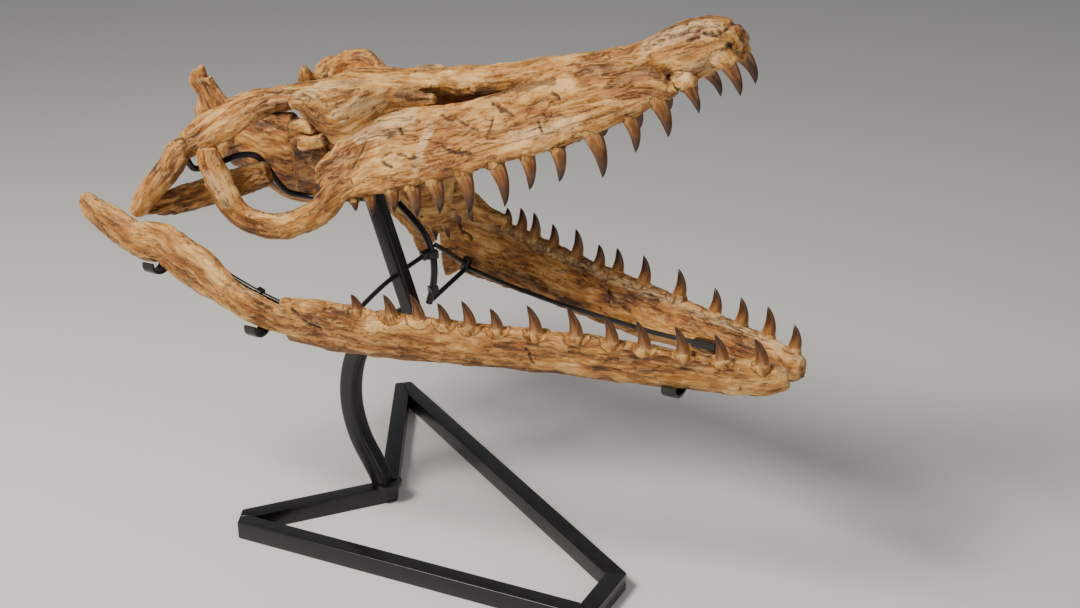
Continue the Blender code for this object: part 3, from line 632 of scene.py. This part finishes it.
BRAINCASE = [
    (-4, 0, 24, 9, 10), (12, 0, 34, 17, 25), (32, 0, 34, 24, 34), (60, 0, 34, 28, 44), (85, 0, 22, 26, 54),
    (105, 0, 12, 22, 60), (130, 0, 2, 18, 64), (155, 0, 4, 14, 62), (172, 0, 10, 8, 44),
]
PAROCCIPITAL = [(46, 12, 58, 9, 12), (40, 60, 58, 7, 11), (40, 104, 57, 6, 9), (46, 134, 54, 5, 7)]
OCCIPITAL_SPIKE = [
    (8, -12, 60, 32, 9), (20, -12, 90, 36, 9), (20, -12, 106, 23, 9), (18, -12, 120, 18, 8),
    (12, -12, 132, 18, 8), (14, -12, 139, 11, 7), (20, -12, 145, 6, 5), (24, -12, 151, 3, 3),
]
PALATINE_WALL = [
    (128, 6, -6, 7, 34), (150, 24, -10, 8, 40), (175, 36, -6, 7, 44), (200, 50, -4, 7, 40), (222, 62, -8, 7, 30),
    (238, 72, -14, 6, 18),
]
PTERYGOID = [
    (290, 31, -26, 5, 7), (317, 31, -50, 7, 28), (342, 30, -66, 8, 46), (362, 28, -62, 8, 38),
    (382, 25, -40, 7, 17), (396, 23, -28, 5, 7),
]

# %% Build cheek and braincase
shells = [loft(BRAINCASE, sides=36), loft(OCCIPITAL_SPIKE, across=(1, 0, 0))]
shells += pair(PAROCCIPITAL, across=(1, 0, 0)) + pair(PALATINE_WALL)
finish_bone(
    "braincase", shells, cranium_frame, 51, tone=0.3, chalk_and_highlight=[([(8, 10, 118), (18, 20, 95), (30, 0, 150)], 9)],
    cuts=[
        ([(14, 0, 137), (16, -8, 132)], 3, 4), ([(12, 6, 113), (14, 2, 108)], 3, 4),
        ([(14, -12, 101), (12, -4, 97)], 3, 4),
    ],
)
for word, side in (("left", LEFT), ("right", RIGHT)):
    finish_bone(
        f"postorbitofrontal_{word}", [loft(POSTORBITAL, side)], cranium_frame, 53 + side, tone=0.5,
        stain_and_shade=[(band(POSTORBITAL, side, -0.8), 7)], cuts=[(band(POSTORBITAL, side, -0.1)[2:6], 1.2, 1.6)],
    )
    finish_bone(
        f"jugal_{word}", [loft(JUGAL, side)], cranium_frame, 56 + side, tone=0.55,
        chalk_and_highlight=[([(118, side * 150, -10), (104, side * 152, 30)], 12)],
        stain_and_shade=[(band(JUGAL, side, 0.9)[2:9], 6)], cuts=[(band(JUGAL, side, 0.1)[1:8], 1.1, 1.5)],
    )
    horn = [loft(SQUAMOSAL_HORN, across=(1, 0, 0))] if side == LEFT else []
    finish_bone(
        f"squamosal_{word}", [loft(SQUAMOSAL, side)] + horn, cranium_frame, 60 + side, tone=0.5,
        stain_and_shade=[(band(SQUAMOSAL, side, -0.8), 7)], cuts=[([(84, side * 130, 84), (70, side * 132, 78)], 4, 5)],
    )
    finish_bone(
        f"quadrate_{word}", [loft(QUADRATE, side)], cranium_frame, 64 + side, tone=0.55,
        stain_and_shade=[([(84, side * 150, 60), (60, side * 166, 38)], 12)],
    )
    finish_bone(
        f"quadrate_ramus_{word}", [loft(QUADRATE_RAMUS, side)], cranium_frame, 67 + side, tone=0.5,
        chalk_and_highlight=[(band(QUADRATE_RAMUS, side, 0.9)[3:], 9)], stain_and_shade=[(band(QUADRATE_RAMUS, side, -0.9), 8)],
    )
    crowns = [crown((x, 29, -104), (x + 1, 31, -124), 5, side=side) for x in (338, 358)]
    shells = [loft(PTERYGOID, side, facing=(1, 0, 0))]
    finish_bone(f"pterygoid_{word}", shells, cranium_frame, 70 + side, crowns, tone=0.8)

# %% [markdown]
# ## Lower jaw
# The dentary holds the teeth, and the bones behind it, fused here into one postdentary piece, reach back
# to the joint. The teeth stand along a curve that both jaws share, at places read off each side.

# %% Lower jaw tables
JAW_LEAN = 14.0
DENTARY = [
    (-14, 188, 351, 9, 33), (60, 177, 350, 12, 36), (140, 158, 347, 13, 33), (240, 126, 344, 14, 30),
    (340, 97, 343, 14, 30), (455, 69, 339, 14, 27), (510, 54, 337, 14, 25), (560, 39, 336, 14, 22),
    (586, 30, 337, 13, 18), (598, 26, 339, 9, 12),
]
DENTARY_LEFT = [
    (-14, 188, 331, 9, 54), (18, 183, 340, 11, 46), (60, 177, 340, 12, 47), (140, 158, 338, 13, 43),
    (240, 126, 337, 14, 38), (340, 97, 336, 14, 36), (455, 69, 337, 14, 28), *DENTARY[6:],
]
POSTDENTARY = [
    (2, 188, 346, 6, 14), (-22, 191, 350, 8, 20), (-50, 193, 357, 9, 22), (-80, 195, 365, 9, 22),
    (-110, 196, 380, 10, 27), (-132, 196, 393, 11, 34), (-168, 196, 407, 12, 34), (-200, 196, 422, 13, 30),
    (-228, 196, 422, 12, 28), (-248, 196, 422, 12, 25), (-274, 196, 432, 12, 26), (-306, 196, 446, 11, 23),
    (-330, 196, 457, 9, 17), (-342, 196, 461, 5, 9),
]
POSTDENTARY_LEFT = [
    (6, 189, 374, 6, 9), (-16, 191, 375, 8, 15), (-34, 192, 358, 9, 38), (-50, 193, 350, 9, 48),
    (-80, 195, 366, 9, 33), (-110, 196, 382, 10, 30), *POSTDENTARY[5:],
]
CORONOID = [
    (100, 172, 389, 5, 6), (74, 177, 387, 7, 12), (48, 181, 390, 7, 19), (28, 184, 394, 7, 23),
    (8, 186, 392, 6, 18), (-8, 187, 388, 5, 9),
]
JAW_MARGIN = (
    (-14, 383), (71, 384), (116, 381), (183, 374), (243, 372), (340, 372), (386, 370), (457, 365), (503, 361),
    (590, 356),
)
JAW_LINE = ((-14, 196), (95, 181), (232, 138), (354, 104), (452, 80), (536, 58), (579, 42), (600, 32))
LOWER_TEETH = {  # (x, height) of each tooth, from the front
    RIGHT: (
        (571, 33), (527, 32), (482, 34), (437, 33), (399, 33), (356, 37), (308, 34), (262, 26),
        (229, 32), (199, 26), (168, 32), (134, 26), (93, 20),
    ),
    LEFT: (
        (580, 29), (540, 36), (500, 33), (460, 30), (404, 35), (347, 34), (302, 31), (270, 27),
        (230, 37), (186, 30), (150, 33), (124, 30), (96, 20),
    ),
}
TOOTH_LEAN = {RIGHT: 0.27, LEFT: 0.12}  # backward, as a share of the height


def read(curve, x):
    return float(np.interp(x, *zip(*curve)))


# %% Build the lower jaw
for word, side in (("left", LEFT), ("right", RIGHT)):
    where = left_jaw_frame if side == LEFT else room_frame
    crowns, sockets = [], []
    for x, height in LOWER_TEETH[side]:
        base = (x, read(JAW_LINE, x) - 2, read(JAW_MARGIN, x) - 3)
        tip = (x - TOOTH_LEAN[side] * height, base[1] + 5, base[2] + 3 + height)
        radius = 6 + 0.07 * height
        crowns.append(crown(base, tip, radius, (0.11 * height, 0, 0), side))
        sockets.append(socket(base, tip, radius, side, rise=5.0))
    front, rear = (DENTARY_LEFT, POSTDENTARY_LEFT) if side == LEFT else (DENTARY, POSTDENTARY)
    shells = [loft(front, side, lean=JAW_LEAN, square=2.5)] + sockets
    finish_bone(
        f"dentary_{word}", shells, where, 81 + side, crowns, tone=0.55 if side == RIGHT else 0.4,
        chalk_and_highlight=[(band(front, side, 0.75), 9)], stain_and_shade=[(band(front, side, -0.8), 8)],
        cuts=[(band(front, side, share)[1:-1], 1.3, depth) for share, depth in ((-0.25, 1.6), (-0.6, 2.2))]
        + [([(8, 372), (26, 356), (44, 350)], 2.0, 3.0), ([(300, 352), (308, 330)], 1.1, 1.8)],
    )
    facing = (-1, 0, 0) if side == LEFT else None
    shells = [loft(rear, side, lean=JAW_LEAN / 2, facing=facing, square=2.4)]
    finish_bone(
        f"postdentary_{word}", shells, where, 86 + side, tone=0.55, chalk_and_highlight=[(band(rear, side, 0.8)[2:], 9)],
        stain_and_shade=[(band(rear, side, -0.7)[3:-1], 7)], cuts=[(band(rear, side, 0.1)[3:-2], 1.4, 2.0)],
    )
    if side == LEFT:
        finish_bone("coronoid_left", [loft(CORONOID, side)], where, 91)

# %% [markdown]
# ## The stand
# The mount is shop-welded steel: a base of square tube mitred round an arrow shape, a bent post, thin
# rods that carry the jaws, and bent straps as clips. Rods are lofts of round rings, which keeps
# them truly round along every bend. The tubes are extruded outlines with softened edges.

# %% Rods, tubes and clips
TUBE, GAP, ROD = 25.0, 0.3, 3.2
FRAME_CORNERS = ((-169, -188), (409, -156), (403, -42), (-225, 356), (-21, 11))
FRAME_TRIMS = (44, 0, 0, 58, 0)  # how much of each outer corner is cut off along its two edges
POST_LOWER = [
    (-8, 6), (-13, 34), (-26, 58), (-46, 92), (-60, 142), (-58, 188), (-48, 222), (-30, 252), (-4, 276),
    (28, 292), (51, 305),
]
POST_RADIUS, POST_HALF, POST_TURN = 13.5, 10.0, 16.0
POST_UPPER = [(56, 0, 298), (-47, 0, 586)]
QUARTER = 7  # a quarter of a ring's 28 sides
RODS = {
    "strap": (5.0, [(-6, 60, 437), (16, 60, 419), (37, 60, 397), (48, 60, 371), (47, 60, 322), (40, 60, 298)]),
    "cross_rod": (ROD, [(58, -157, 350), (33, -8, 360), (42, 58, 373)]),
    "jaw_rod_right": (ROD, [
        (-222, -177, 404), (-150, -178, 403), (-129, -177, 396), (-94, -177, 384), (-62, -177, 374),
        (-30, -173, 364), (60, -159, 350), (200, -121, 335), (380, -66, 328), (455, -44, 328),
    ]),
    "jaw_rod_left": (ROD, [
        (47, 149, 324), (130, 125, 320), (222, 101, 318), (310, 79, 320), (394, 58, 323), (470, 42, 329),
    ]),
    "strut_lower": (3.5, [(41, 67, 301), (46, 141, 320)]),
    "strut_upper": (3.5, [(49, 67, 383), (47, 143, 333)]),
    "cradle_right": (4.2, [
        (-10, -9, 462), (-60, -22, 458), (-99, -34, 460), (-108, -51, 468), (-115, -64, 486), (-121, -75, 507),
        (-129, -87, 524), (-144, -100, 526), (-161, -112, 519), (-177, -129, 513), (-185, -145, 514), (-190, -151, 528),
        (-195, -156, 540),
    ]),
    "cradle_left": (4.2, [(-42, 16, 500), (-62, 60, 500), (-95, 95, 515), (-140, 125, 530), (-172, 139, 540)]),
}
# middle of each jaw clip: x, distance out, height of its floor, half its width
CLIPS = {
    "front_right": (472, -66, 309, 20), "middle_right": (-54, -195, 326, 15), "rear_right": (-215, -196, 384, 17),
    "front_left": (474, 58, 297, 23),
}
CLIP_WALL, CLIP_WIDTH = 2.2, 9.0  # half of its thickness, and of its width along the jaw
HUB = (-6, 6)
# small fittings welded or bolted to a rod: (start, end, half width, half height)
FITTINGS = {
    "jaw_rod_left": [((448, 47, 327), (482, 40, 331), 8, 5), ((44, 149, 320), (50, 149, 338), 6, 6)],
    "strap": [((43, 54, 371), (52, 66, 371), 6, 6), ((44, 56, 318), (50, 66, 320), 6, 6)],
    "cross_rod": [((38, 48, 370), (46, 62, 374), 6, 6), ((54, -152, 348), (60, -160, 352), 6, 6)],
    "jaw_rod_right": [((-66, -177, 376), (-58, -177, 373), 6, 5)],
}
BOLTS = ((-16, -2), (1, 14), (-20, 16))  # on the round plate
PLATE_BOTTOM, PLATE_TOP, BOLT_TOP, PLATE_RADIUS = 25.3, 31.0, 34.5, 21.0
POST_OUT = 4  # how far the lower post stands off the middle
CREASE = 40  # degrees at which an edge of the steel looks sharp
EDGE_ROUND = 1.8  # how far a tube's edges are rounded
steel_pieces = []


def keep_steel(made, node):
    """Brings a piece of the stand from millimetres to its place, and puts it in the frame."""
    made.data.transform(room_frame)
    points = points_of(made.data)[0]
    made.data.vertices.foreach_set("co", np.clip(points, low, high).ravel())
    made.data.shade_smooth()
    made.data.set_sharp_from_angle(angle=math.radians(CREASE))
    made.name = "steel_" + node.removeprefix("stand_")
    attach(made, "root")
    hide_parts(node)
    steel_pieces.append(made)


def base_bars():
    """The outlines of the base's mitred tubes, corner by corner."""
    corners = [Vector(corner) for corner in FRAME_CORNERS]
    count = len(corners)
    inner, starts, middles, ends = [], [], [], []
    for i, corner in enumerate(corners):
        into = (corner - corners[i - 1]).normalized()
        away = (corners[(i + 1) % count] - corner).normalized()
        square_in = Vector((-into.y, into.x))
        across = (square_in + Vector((-away.y, away.x))).normalized()
        inner.append(corner + across * (TUBE / across.dot(square_in)))
        ends.append(corner - into * FRAME_TRIMS[i])
        starts.append(corner + away * FRAME_TRIMS[i])
        middles.append((starts[-1] + ends[-1]) / 2)
    outlines = []
    for i in range(count):
        k = (i + 1) % count
        along = (corners[k] - corners[i]).normalized() * (GAP / 2)
        outline = [starts[i] + along, ends[k] - along, inner[k] - along, inner[i] + along]
        if FRAME_TRIMS[k]:
            outline.insert(2, middles[k] - along)
        if FRAME_TRIMS[i]:
            outline.append(middles[i] + along)
        outlines.append(outline)
    return outlines


# %% Build the stand
for number, outline in enumerate(base_bars(), 1):
    size = len(outline)
    points = [(p.x, p.y, z) for z in (0, TUBE) for p in outline]
    faces = [list(range(size))[::-1], list(range(size, 2 * size))]
    faces += [[j, (j + 1) % size, (j + 1) % size + size, j + size] for j in range(size)]
    bar = shells_to_object(f"bar_{number}", [{"points": points, "faces": faces}])
    edge = bar.modifiers.new("Soften", "BEVEL")
    edge.width, edge.segments = EDGE_ROUND, 4
    apply_modifiers(bar)
    keep_steel(bar, f"stand_base_{number}")

lower_rows = [(x, POST_OUT, z, POST_RADIUS, POST_RADIUS) for x, z in POST_LOWER]
keep_steel(shells_to_object("post", [loft(lower_rows, square=4, step=4)]), "stand_post_lower")
half = POST_HALF * 1.12  # a rounded square is a little wider than its flats
upper_rows = [(*point, half, half) for point in POST_UPPER]
keep_steel(shells_to_object("post", [loft(upper_rows, square=5, turn=POST_TURN / 90 * QUARTER)]), "stand_post_upper")
plate = [(*HUB, height, PLATE_RADIUS, PLATE_RADIUS) for height in (PLATE_BOTTOM, PLATE_TOP)]
shells = [loft(plate, across=(1, 0, 0), step=0.6)]
for bolt in BOLTS:
    rows = [(*bolt, height, 4, 4) for height in (PLATE_TOP - 1, BOLT_TOP)]
    shells.append(loft(rows, across=(1, 0, 0), sides=6, square=2, step=1))
keep_steel(shells_to_object("hub", shells), "stand_hub_plate")
for name, (radius, route) in RODS.items():
    run = Vector(route[-1]) - Vector(route[0])
    across = (1, 0, 0) if abs(run.y) > max(abs(run.x), abs(run.z)) else (0, 1, 0)
    shells = [loft([(*point, radius, radius) for point in route], sides=16, across=across, square=2, step=4)]
    for start, end, wide, tall in FITTINGS.get(name, ()):
        across = (0, 1, 0) if abs(start[1] - end[1]) < abs(start[0] - end[0]) else (1, 0, 0)
        shells.append(loft([(*start, wide, tall), (*end, wide, tall)], across=across, square=5, step=2))
    keep_steel(shells_to_object(name, shells), f"stand_{name}")
for name, (x, y, floor, reach) in CLIPS.items():
    out = 1 if y > 0 else -1
    profile = [(-reach, 22), (1 - reach, 6), (8 - reach, 0), (reach - 8, 0), (reach - 1, 6), (reach, 14)]
    route = [(x, y + out * across, floor + height, CLIP_WIDTH, CLIP_WALL) for across, height in profile]
    shell = loft(route, across=(1, 0, 0), square=8, step=1.5)
    keep_steel(shells_to_object(name, [shell]), f"stand_clip_{name}")
print(len(steel_pieces), "pieces of steel")

# %% [markdown]
# ## Shared shading
# Three finishes cover the whole mount: bone, enamel and painted steel. They share two effects, so each is
# a node group of its own: a grain that runs along the bone, and the wear and dust of a piece that has
# stood in a hall for years. A group is changed in one place, where a copied set of nodes drifts apart.

# %% Helpers for node trees
def node(tree, kind, **settings):
    made = tree.nodes.new(kind)
    for key, value in settings.items():
        if key in made.inputs:
            made.inputs[key].default_value = value
        else:
            setattr(made, key.lower(), value)
    return made


def new_material(name):
    made = bpy.data.materials.new(name)
    made.use_nodes = True
    tree = made.node_tree
    return made, tree, tree.nodes["Principled BSDF"]


def ramp(tree, stops, source):
    made = tree.nodes.new("ShaderNodeValToRGB")
    made.color_ramp.elements[0].position, made.color_ramp.elements[0].color = stops[0][0], (*stops[0][1], 1)
    made.color_ramp.elements[1].position, made.color_ramp.elements[1].color = stops[-1][0], (*stops[-1][1], 1)
    for place, colour in stops[1:-1]:
        made.color_ramp.elements.new(place).color = (*colour, 1)
    tree.links.new(source, made.inputs["Fac"])
    return made.outputs["Color"]


def sums(tree, operation, first, second):
    """A math node of two values, each a socket or a number."""
    made = tree.nodes.new("ShaderNodeMath")
    made.operation = operation
    for place, value in zip(made.inputs, (first, second)):
        if isinstance(value, (int, float)):
            place.default_value = value
        else:
            tree.links.new(value, place)
    return made.outputs["Value"]


def blend(tree, share, under, over):
    """Colour `over` laid on `under`, as far as `share` says."""
    made = tree.nodes.new("ShaderNodeMix")
    made.data_type = "RGBA"
    for place, value in ((made.inputs["Factor"], share), (made.inputs[6], under), (made.inputs[7], over)):
        if isinstance(value, tuple):
            place.default_value = (*value, 1)
        elif isinstance(value, (int, float)):
            place.default_value = value
        else:
            tree.links.new(value, place)
    return made.outputs[2]


def spread(tree, value, low, high):
    """A value from low to high as 0 to 1, clamped."""
    made = node(tree, "ShaderNodeMapRange")
    made.inputs["From Min"].default_value, made.inputs["From Max"].default_value = low, high
    tree.links.new(value, made.inputs["Value"])
    return made.outputs["Result"]


def mask(tree, name):
    """One of the values that each bone's mesh carries."""
    return node(tree, "ShaderNodeAttribute", attribute_name=name).outputs["Fac"]


def along_bone(tree):
    """Where a point lies along, across and up its bone, in metres."""
    return node(tree, "ShaderNodeAttribute", attribute_name="grain").outputs["Vector"]


def scaled(tree, value, by):
    return sums(tree, "MULTIPLY", value, by)


def new_group(name, inputs, outputs):
    """An empty node group with named sockets: inputs are (name, kind, default), outputs (name, kind)."""
    tree = bpy.data.node_groups.new(name, "ShaderNodeTree")
    for label, kind, default in inputs:
        made = tree.interface.new_socket(label, in_out="INPUT", socket_type=kind)
        if default is not None:
            made.default_value = default
    for label, kind in outputs:
        tree.interface.new_socket(label, in_out="OUTPUT", socket_type=kind)
    return tree, tree.nodes.new("NodeGroupInput").outputs, tree.nodes.new("NodeGroupOutput").inputs


def use_group(tree, group, **sources):
    made = tree.nodes.new("ShaderNodeGroup")
    made.node_tree = group
    for label, value in sources.items():
        place = made.inputs[label.replace("_", " ")]
        if isinstance(value, (int, float, tuple)):
            place.default_value = value
        else:
            tree.links.new(value, place)
    return made.outputs


def stretched(tree, place, by):
    made = node(tree, "ShaderNodeVectorMath")
    made.operation = "MULTIPLY"
    made.inputs[1].default_value = by
    tree.links.new(place, made.inputs[0])
    return made.outputs[0]


def finish_surface(tree, shader, colour, roughness, height, strength, depth):
    """Joins the colour, the roughness and a fine relief (strength, and depth in metres) to a material."""
    bump = node(tree, "ShaderNodeBump", Strength=strength, Distance=depth)
    tree.links.new(colour, shader.inputs["Base Color"])
    tree.links.new(roughness, shader.inputs["Roughness"])
    tree.links.new(height, bump.inputs["Height"])
    tree.links.new(bump.outputs["Normal"], shader.inputs["Normal"])


FLOAT, VECTOR, COLOUR = "NodeSocketFloat", "NodeSocketVector", "NodeSocketColor"

# %% Grain, shared by bone and enamel
grain_group, given, wanted = new_group(
    "Lengthwise grain", [("Place", VECTOR, None), ("Fineness", FLOAT, 1.0)],
    [("Streaks", FLOAT), ("Blotches", FLOAT), ("Specks", FLOAT), ("Cracks", FLOAT)],
)
for label, scale, detail, rough in (
    ("Streaks", (26, 150, 150), 7.0, 0.62), ("Blotches", (14, 30, 30), 4.0, 0.60),
    ("Specks", (420, 900, 900), 3.0, 0.55),
):
    texture = node(grain_group, "ShaderNodeTexNoise", Detail=detail, Roughness=rough)
    grain_group.links.new(given["Fineness"], texture.inputs["Scale"])
    grain_group.links.new(stretched(grain_group, given["Place"], scale), texture.inputs["Vector"])
    grain_group.links.new(texture.outputs["Fac"], wanted[label])

wobble = node(grain_group, "ShaderNodeTexNoise", Scale=1.0, Detail=6.0, Roughness=0.62, Distortion=0.4)
grain_group.links.new(stretched(grain_group, given["Place"], (17, 95, 95)), wobble.inputs["Vector"])
off_middle = sums(grain_group, "ABSOLUTE", sums(grain_group, "SUBTRACT", wobble.outputs["Fac"], 0.5), 0.0)
lines = sums(grain_group, "SUBTRACT", 1.0, spread(grain_group, off_middle, 0.003, 0.022))
grain_group.links.new(lines, wanted["Cracks"])

# %% Wear and dust, shared by every finish
wear_group, given, wanted = new_group(
    "Wear and dust",
    [("Colour", COLOUR, None), ("Edge", FLOAT, 0.0), ("Edge colour", COLOUR, None), ("Dust", FLOAT, 0.1)],
    [("Colour", COLOUR), ("Dust mask", FLOAT)],
)
upright = node(wear_group, "ShaderNodeSeparateXYZ")
wear_group.links.new(node(wear_group, "ShaderNodeNewGeometry").outputs["Normal"], upright.inputs[0])
upward = spread(wear_group, upright.outputs["Z"], 0.35, 0.95)
speckle = node(wear_group, "ShaderNodeTexNoise", Scale=60.0, Detail=5.0)
wear_group.links.new(node(wear_group, "ShaderNodeTexCoord").outputs["Object"], speckle.inputs["Vector"])
settled = scaled(wear_group, upward, spread(wear_group, speckle.outputs["Fac"], 0.35, 0.75))
settled = scaled(wear_group, settled, given["Dust"])
worn_colour = blend(wear_group, given["Edge"], given["Colour"], given["Edge colour"])
DUST_COLOUR = (0.62, 0.56, 0.47)
wear_group.links.new(blend(wear_group, settled, worn_colour, DUST_COLOUR), wanted["Colour"])
wear_group.links.new(settled, wanted["Dust mask"])
print("node groups:", [group.name for group in bpy.data.node_groups])

# %% [markdown]
# ## Three finishes
# Mineralised bone is ochre to cream where its outer skin is whole and dark brown wherever it broke. Where it
# lies deep, and along its undersides, the dark brown is painted shade, and the tops of some bars carry a painted
# highlight. The masks that were carved with the shape decide which. Enamel is glossy and darkens to the tip.

# %% Bone
BROWN, OCHRE, SAND, CREAM = (0.105, 0.031, 0.005), (0.32, 0.112, 0.016), (0.52, 0.225, 0.042), (0.80, 0.47, 0.16)
# The chalk colour also serves as painted highlight along tops; the rubbed colour is edge wear.
CHALK_AND_HIGHLIGHT, RUBBED = (0.82, 0.58, 0.30), (0.78, 0.48, 0.18, 1)
# Painted shade for hollows and for carved cracks and pits, then the bone's own hairline cracks.
PAINTED_HOLLOW_SHADE, CRACK_SEAM_AND_SHADE, HAIRLINE = (0.075, 0.025, 0.006), (0.040, 0.014, 0.004), (0.070, 0.022, 0.004)
# Painted shade along undersides and in joins, mixed with brown stain.
DEEP_STAIN_AND_SHADE, THIN_STAIN_AND_SHADE = (0.050, 0.017, 0.005), (0.23, 0.085, 0.020)
bone_material, tree, shader = new_material("fossil_bone")
grain = use_group(tree, grain_group, Place=along_bone(tree))
tone = mask(tree, "tone")
mottle = scaled(tree, sums(tree, "SUBTRACT", grain["Blotches"], 0.5), 1.5)
shade = sums(tree, "ADD", grain["Streaks"], mottle)
shade = sums(tree, "ADD", shade, scaled(tree, sums(tree, "SUBTRACT", tone, 0.5), 0.45))
colour = ramp(tree, [(0.22, BROWN), (0.40, OCHRE), (0.60, SAND), (0.82, CREAM)], shade)
skin = scaled(tree, mask(tree, "flake"), 0.20)
colour = blend(tree, skin, colour, CREAM)
# Chalky patches, and a painted highlight along the tops of bars.
chalk_and_highlight_share = scaled(tree, mask(tree, "chalk_and_highlight"), spread(tree, grain["Streaks"], 0.25, 0.60))
colour = blend(tree, scaled(tree, chalk_and_highlight_share, 0.62), colour, CHALK_AND_HIGHLIGHT)
# Stain and painted shade: darkens the undersides and joins that the patches mark.
stain_and_shade_share = scaled(tree, mask(tree, "stain_and_shade"), 0.82)
stain_and_shade_colour = ramp(tree, [(0.3, DEEP_STAIN_AND_SHADE), (0.7, THIN_STAIN_AND_SHADE)], grain["Streaks"])
colour = blend(tree, stain_and_shade_share, colour, stain_and_shade_colour)
edge_wear_and_hollow_shade = mask(tree, "edge_wear_and_hollow_shade")
# Painted shade: concave hollows are darkened towards deep brown.
hollow_shade = scaled(tree, spread(tree, scaled(tree, edge_wear_and_hollow_shade, -1.0), 0.05, 0.55), 0.75)
colour = blend(tree, hollow_shade, colour, PAINTED_HOLLOW_SHADE)
# Carved cracks, pits and sutures painted near-black: their dark seams and painted shade in them.
crack_seam_and_shade_share = scaled(tree, mask(tree, "mark"), 0.80)
colour = blend(tree, crack_seam_and_shade_share, colour, CRACK_SEAM_AND_SHADE)
split = scaled(tree, grain["Cracks"], spread(tree, grain["Blotches"], 0.62, 0.42))
colour = blend(tree, scaled(tree, split, 0.72), colour, HAIRLINE)
edge = scaled(tree, spread(tree, edge_wear_and_hollow_shade, 0.08, 0.60), 0.45)
finished = use_group(tree, wear_group, Colour=colour, Edge=edge, Edge_colour=RUBBED, Dust=0.03)
sheen = sums(tree, "ADD", scaled(tree, grain["Streaks"], -0.25), 0.64)
roughness = sums(tree, "ADD", sheen, finished["Dust mask"])
height = sums(tree, "ADD", grain["Streaks"], scaled(tree, grain["Specks"], 0.30))
height = sums(tree, "ADD", height, scaled(tree, grain["Blotches"], 0.9))
height = sums(tree, "SUBTRACT", height, scaled(tree, split, 0.45))
finish_surface(tree, shader, finished["Colour"], roughness, height, 0.9, 0.0030)

# %% Enamel
tooth_material, tree, shader = new_material("tooth_enamel")
grain = use_group(tree, grain_group, Place=along_bone(tree), Fineness=1.6)
share = mask(tree, "share")
mottled = sums(tree, "ADD", share, scaled(tree, sums(tree, "SUBTRACT", grain["Streaks"], 0.5), 1.1))
from_base_to_tip = [
    (0.04, (0.46, 0.24, 0.08)), (0.26, (0.24, 0.095, 0.024)), (0.55, (0.085, 0.030, 0.008)),
    (1.0, (0.038, 0.014, 0.004)),
]
colour = ramp(tree, from_base_to_tip, mottled)
finished = use_group(tree, wear_group, Colour=colour, Edge=0.0, Edge_colour=(0.6, 0.4, 0.2, 1), Dust=0.05)
roughness = sums(tree, "ADD", scaled(tree, grain["Streaks"], 0.25), 0.12)
finish_surface(tree, shader, finished["Colour"], roughness, grain["Streaks"], 0.35, 0.0006)

# %% Steel
steel_material, tree, shader = new_material("black_steel")
place = node(tree, "ShaderNodeTexCoord").outputs["Object"]
grain = use_group(tree, grain_group, Place=place, Fineness=1.0)
colour = ramp(tree, [(0.3, (0.003, 0.003, 0.003)), (0.7, (0.008, 0.008, 0.009))], grain["Blotches"])
finished = use_group(tree, wear_group, Colour=colour, Edge=0.0, Edge_colour=(0.2, 0.2, 0.2, 1), Dust=0.012)
roughness = sums(tree, "ADD", scaled(tree, grain["Blotches"], 0.20), 0.22)
finish_surface(tree, shader, finished["Colour"], roughness, grain["Specks"], 0.12, 0.0005)
print("materials:", bone_material.name, tooth_material.name, steel_material.name)

# %% Dress the pieces
for made in bones.values():
    made.data.materials.append(bone_material)
    made.data.materials.append(tooth_material)
for made in steel_pieces:
    made.data.materials.append(steel_material)

# %% [markdown]
# ## Floor, light and camera
# A pale floor and two large soft lamps are enough for a museum piece.

# %% Stage
floor_mesh = bpy.data.meshes.new("floor")
reach = 6.0  # half the floor, m
corners = [(-reach, -reach, 0), (reach, -reach, 0), (reach, reach, 0), (-reach, reach, 0)]
floor_mesh.from_pydata(corners, [], [(0, 1, 2, 3)])
floor = add_object("floor", floor_mesh)
floor_material, tree, shader = new_material("pale_floor")
shader.inputs["Base Color"].default_value = (0.78, 0.77, 0.75, 1)
shader.inputs["Roughness"].default_value = 0.6
floor_mesh.materials.append(floor_material)


SKULL_MIDDLE = (0.1, 0, 0.4)  # what the lamps point at, m


def lamp(name, place, size, power, tint):
    data = bpy.data.lights.new(name, "AREA")
    data.size, data.energy, data.color = size, power, tint
    made = add_object(name, data)
    made.location = place
    made.rotation_euler = (Vector(SKULL_MIDDLE) - Vector(place)).to_track_quat("-Z", "Y").to_euler()


lamp("key", (-0.7, -1.7, 2.5), 0.9, 112, (1.0, 0.94, 0.86))
lamp("fill", (2.4, -0.6, 1.6), 2.0, 14, (1.0, 0.97, 0.93))
world = bpy.data.worlds.new("studio")
world.use_nodes = True
world.node_tree.nodes["Background"].inputs["Color"].default_value = (0.9, 0.92, 0.95, 1)
world.node_tree.nodes["Background"].inputs["Strength"].default_value = 0.24
bpy.context.scene.world = world

CAMERA_PLACE, CAMERA_DIP, CAMERA_TURN = (1.122, -1.572, 1.065), 21.5, 29.0  # metres, then degrees
camera_data = bpy.data.cameras.new("camera")
camera_data.sensor_width, camera_data.lens = 36.0, 50.0
camera = add_object("camera", camera_data)
camera.location = Vector(CAMERA_PLACE) - Vector(FOOT) * MM
camera.rotation_euler = Euler([math.radians(angle) for angle in (90 - CAMERA_DIP, 0, CAMERA_TURN)])
bpy.context.scene.camera = camera
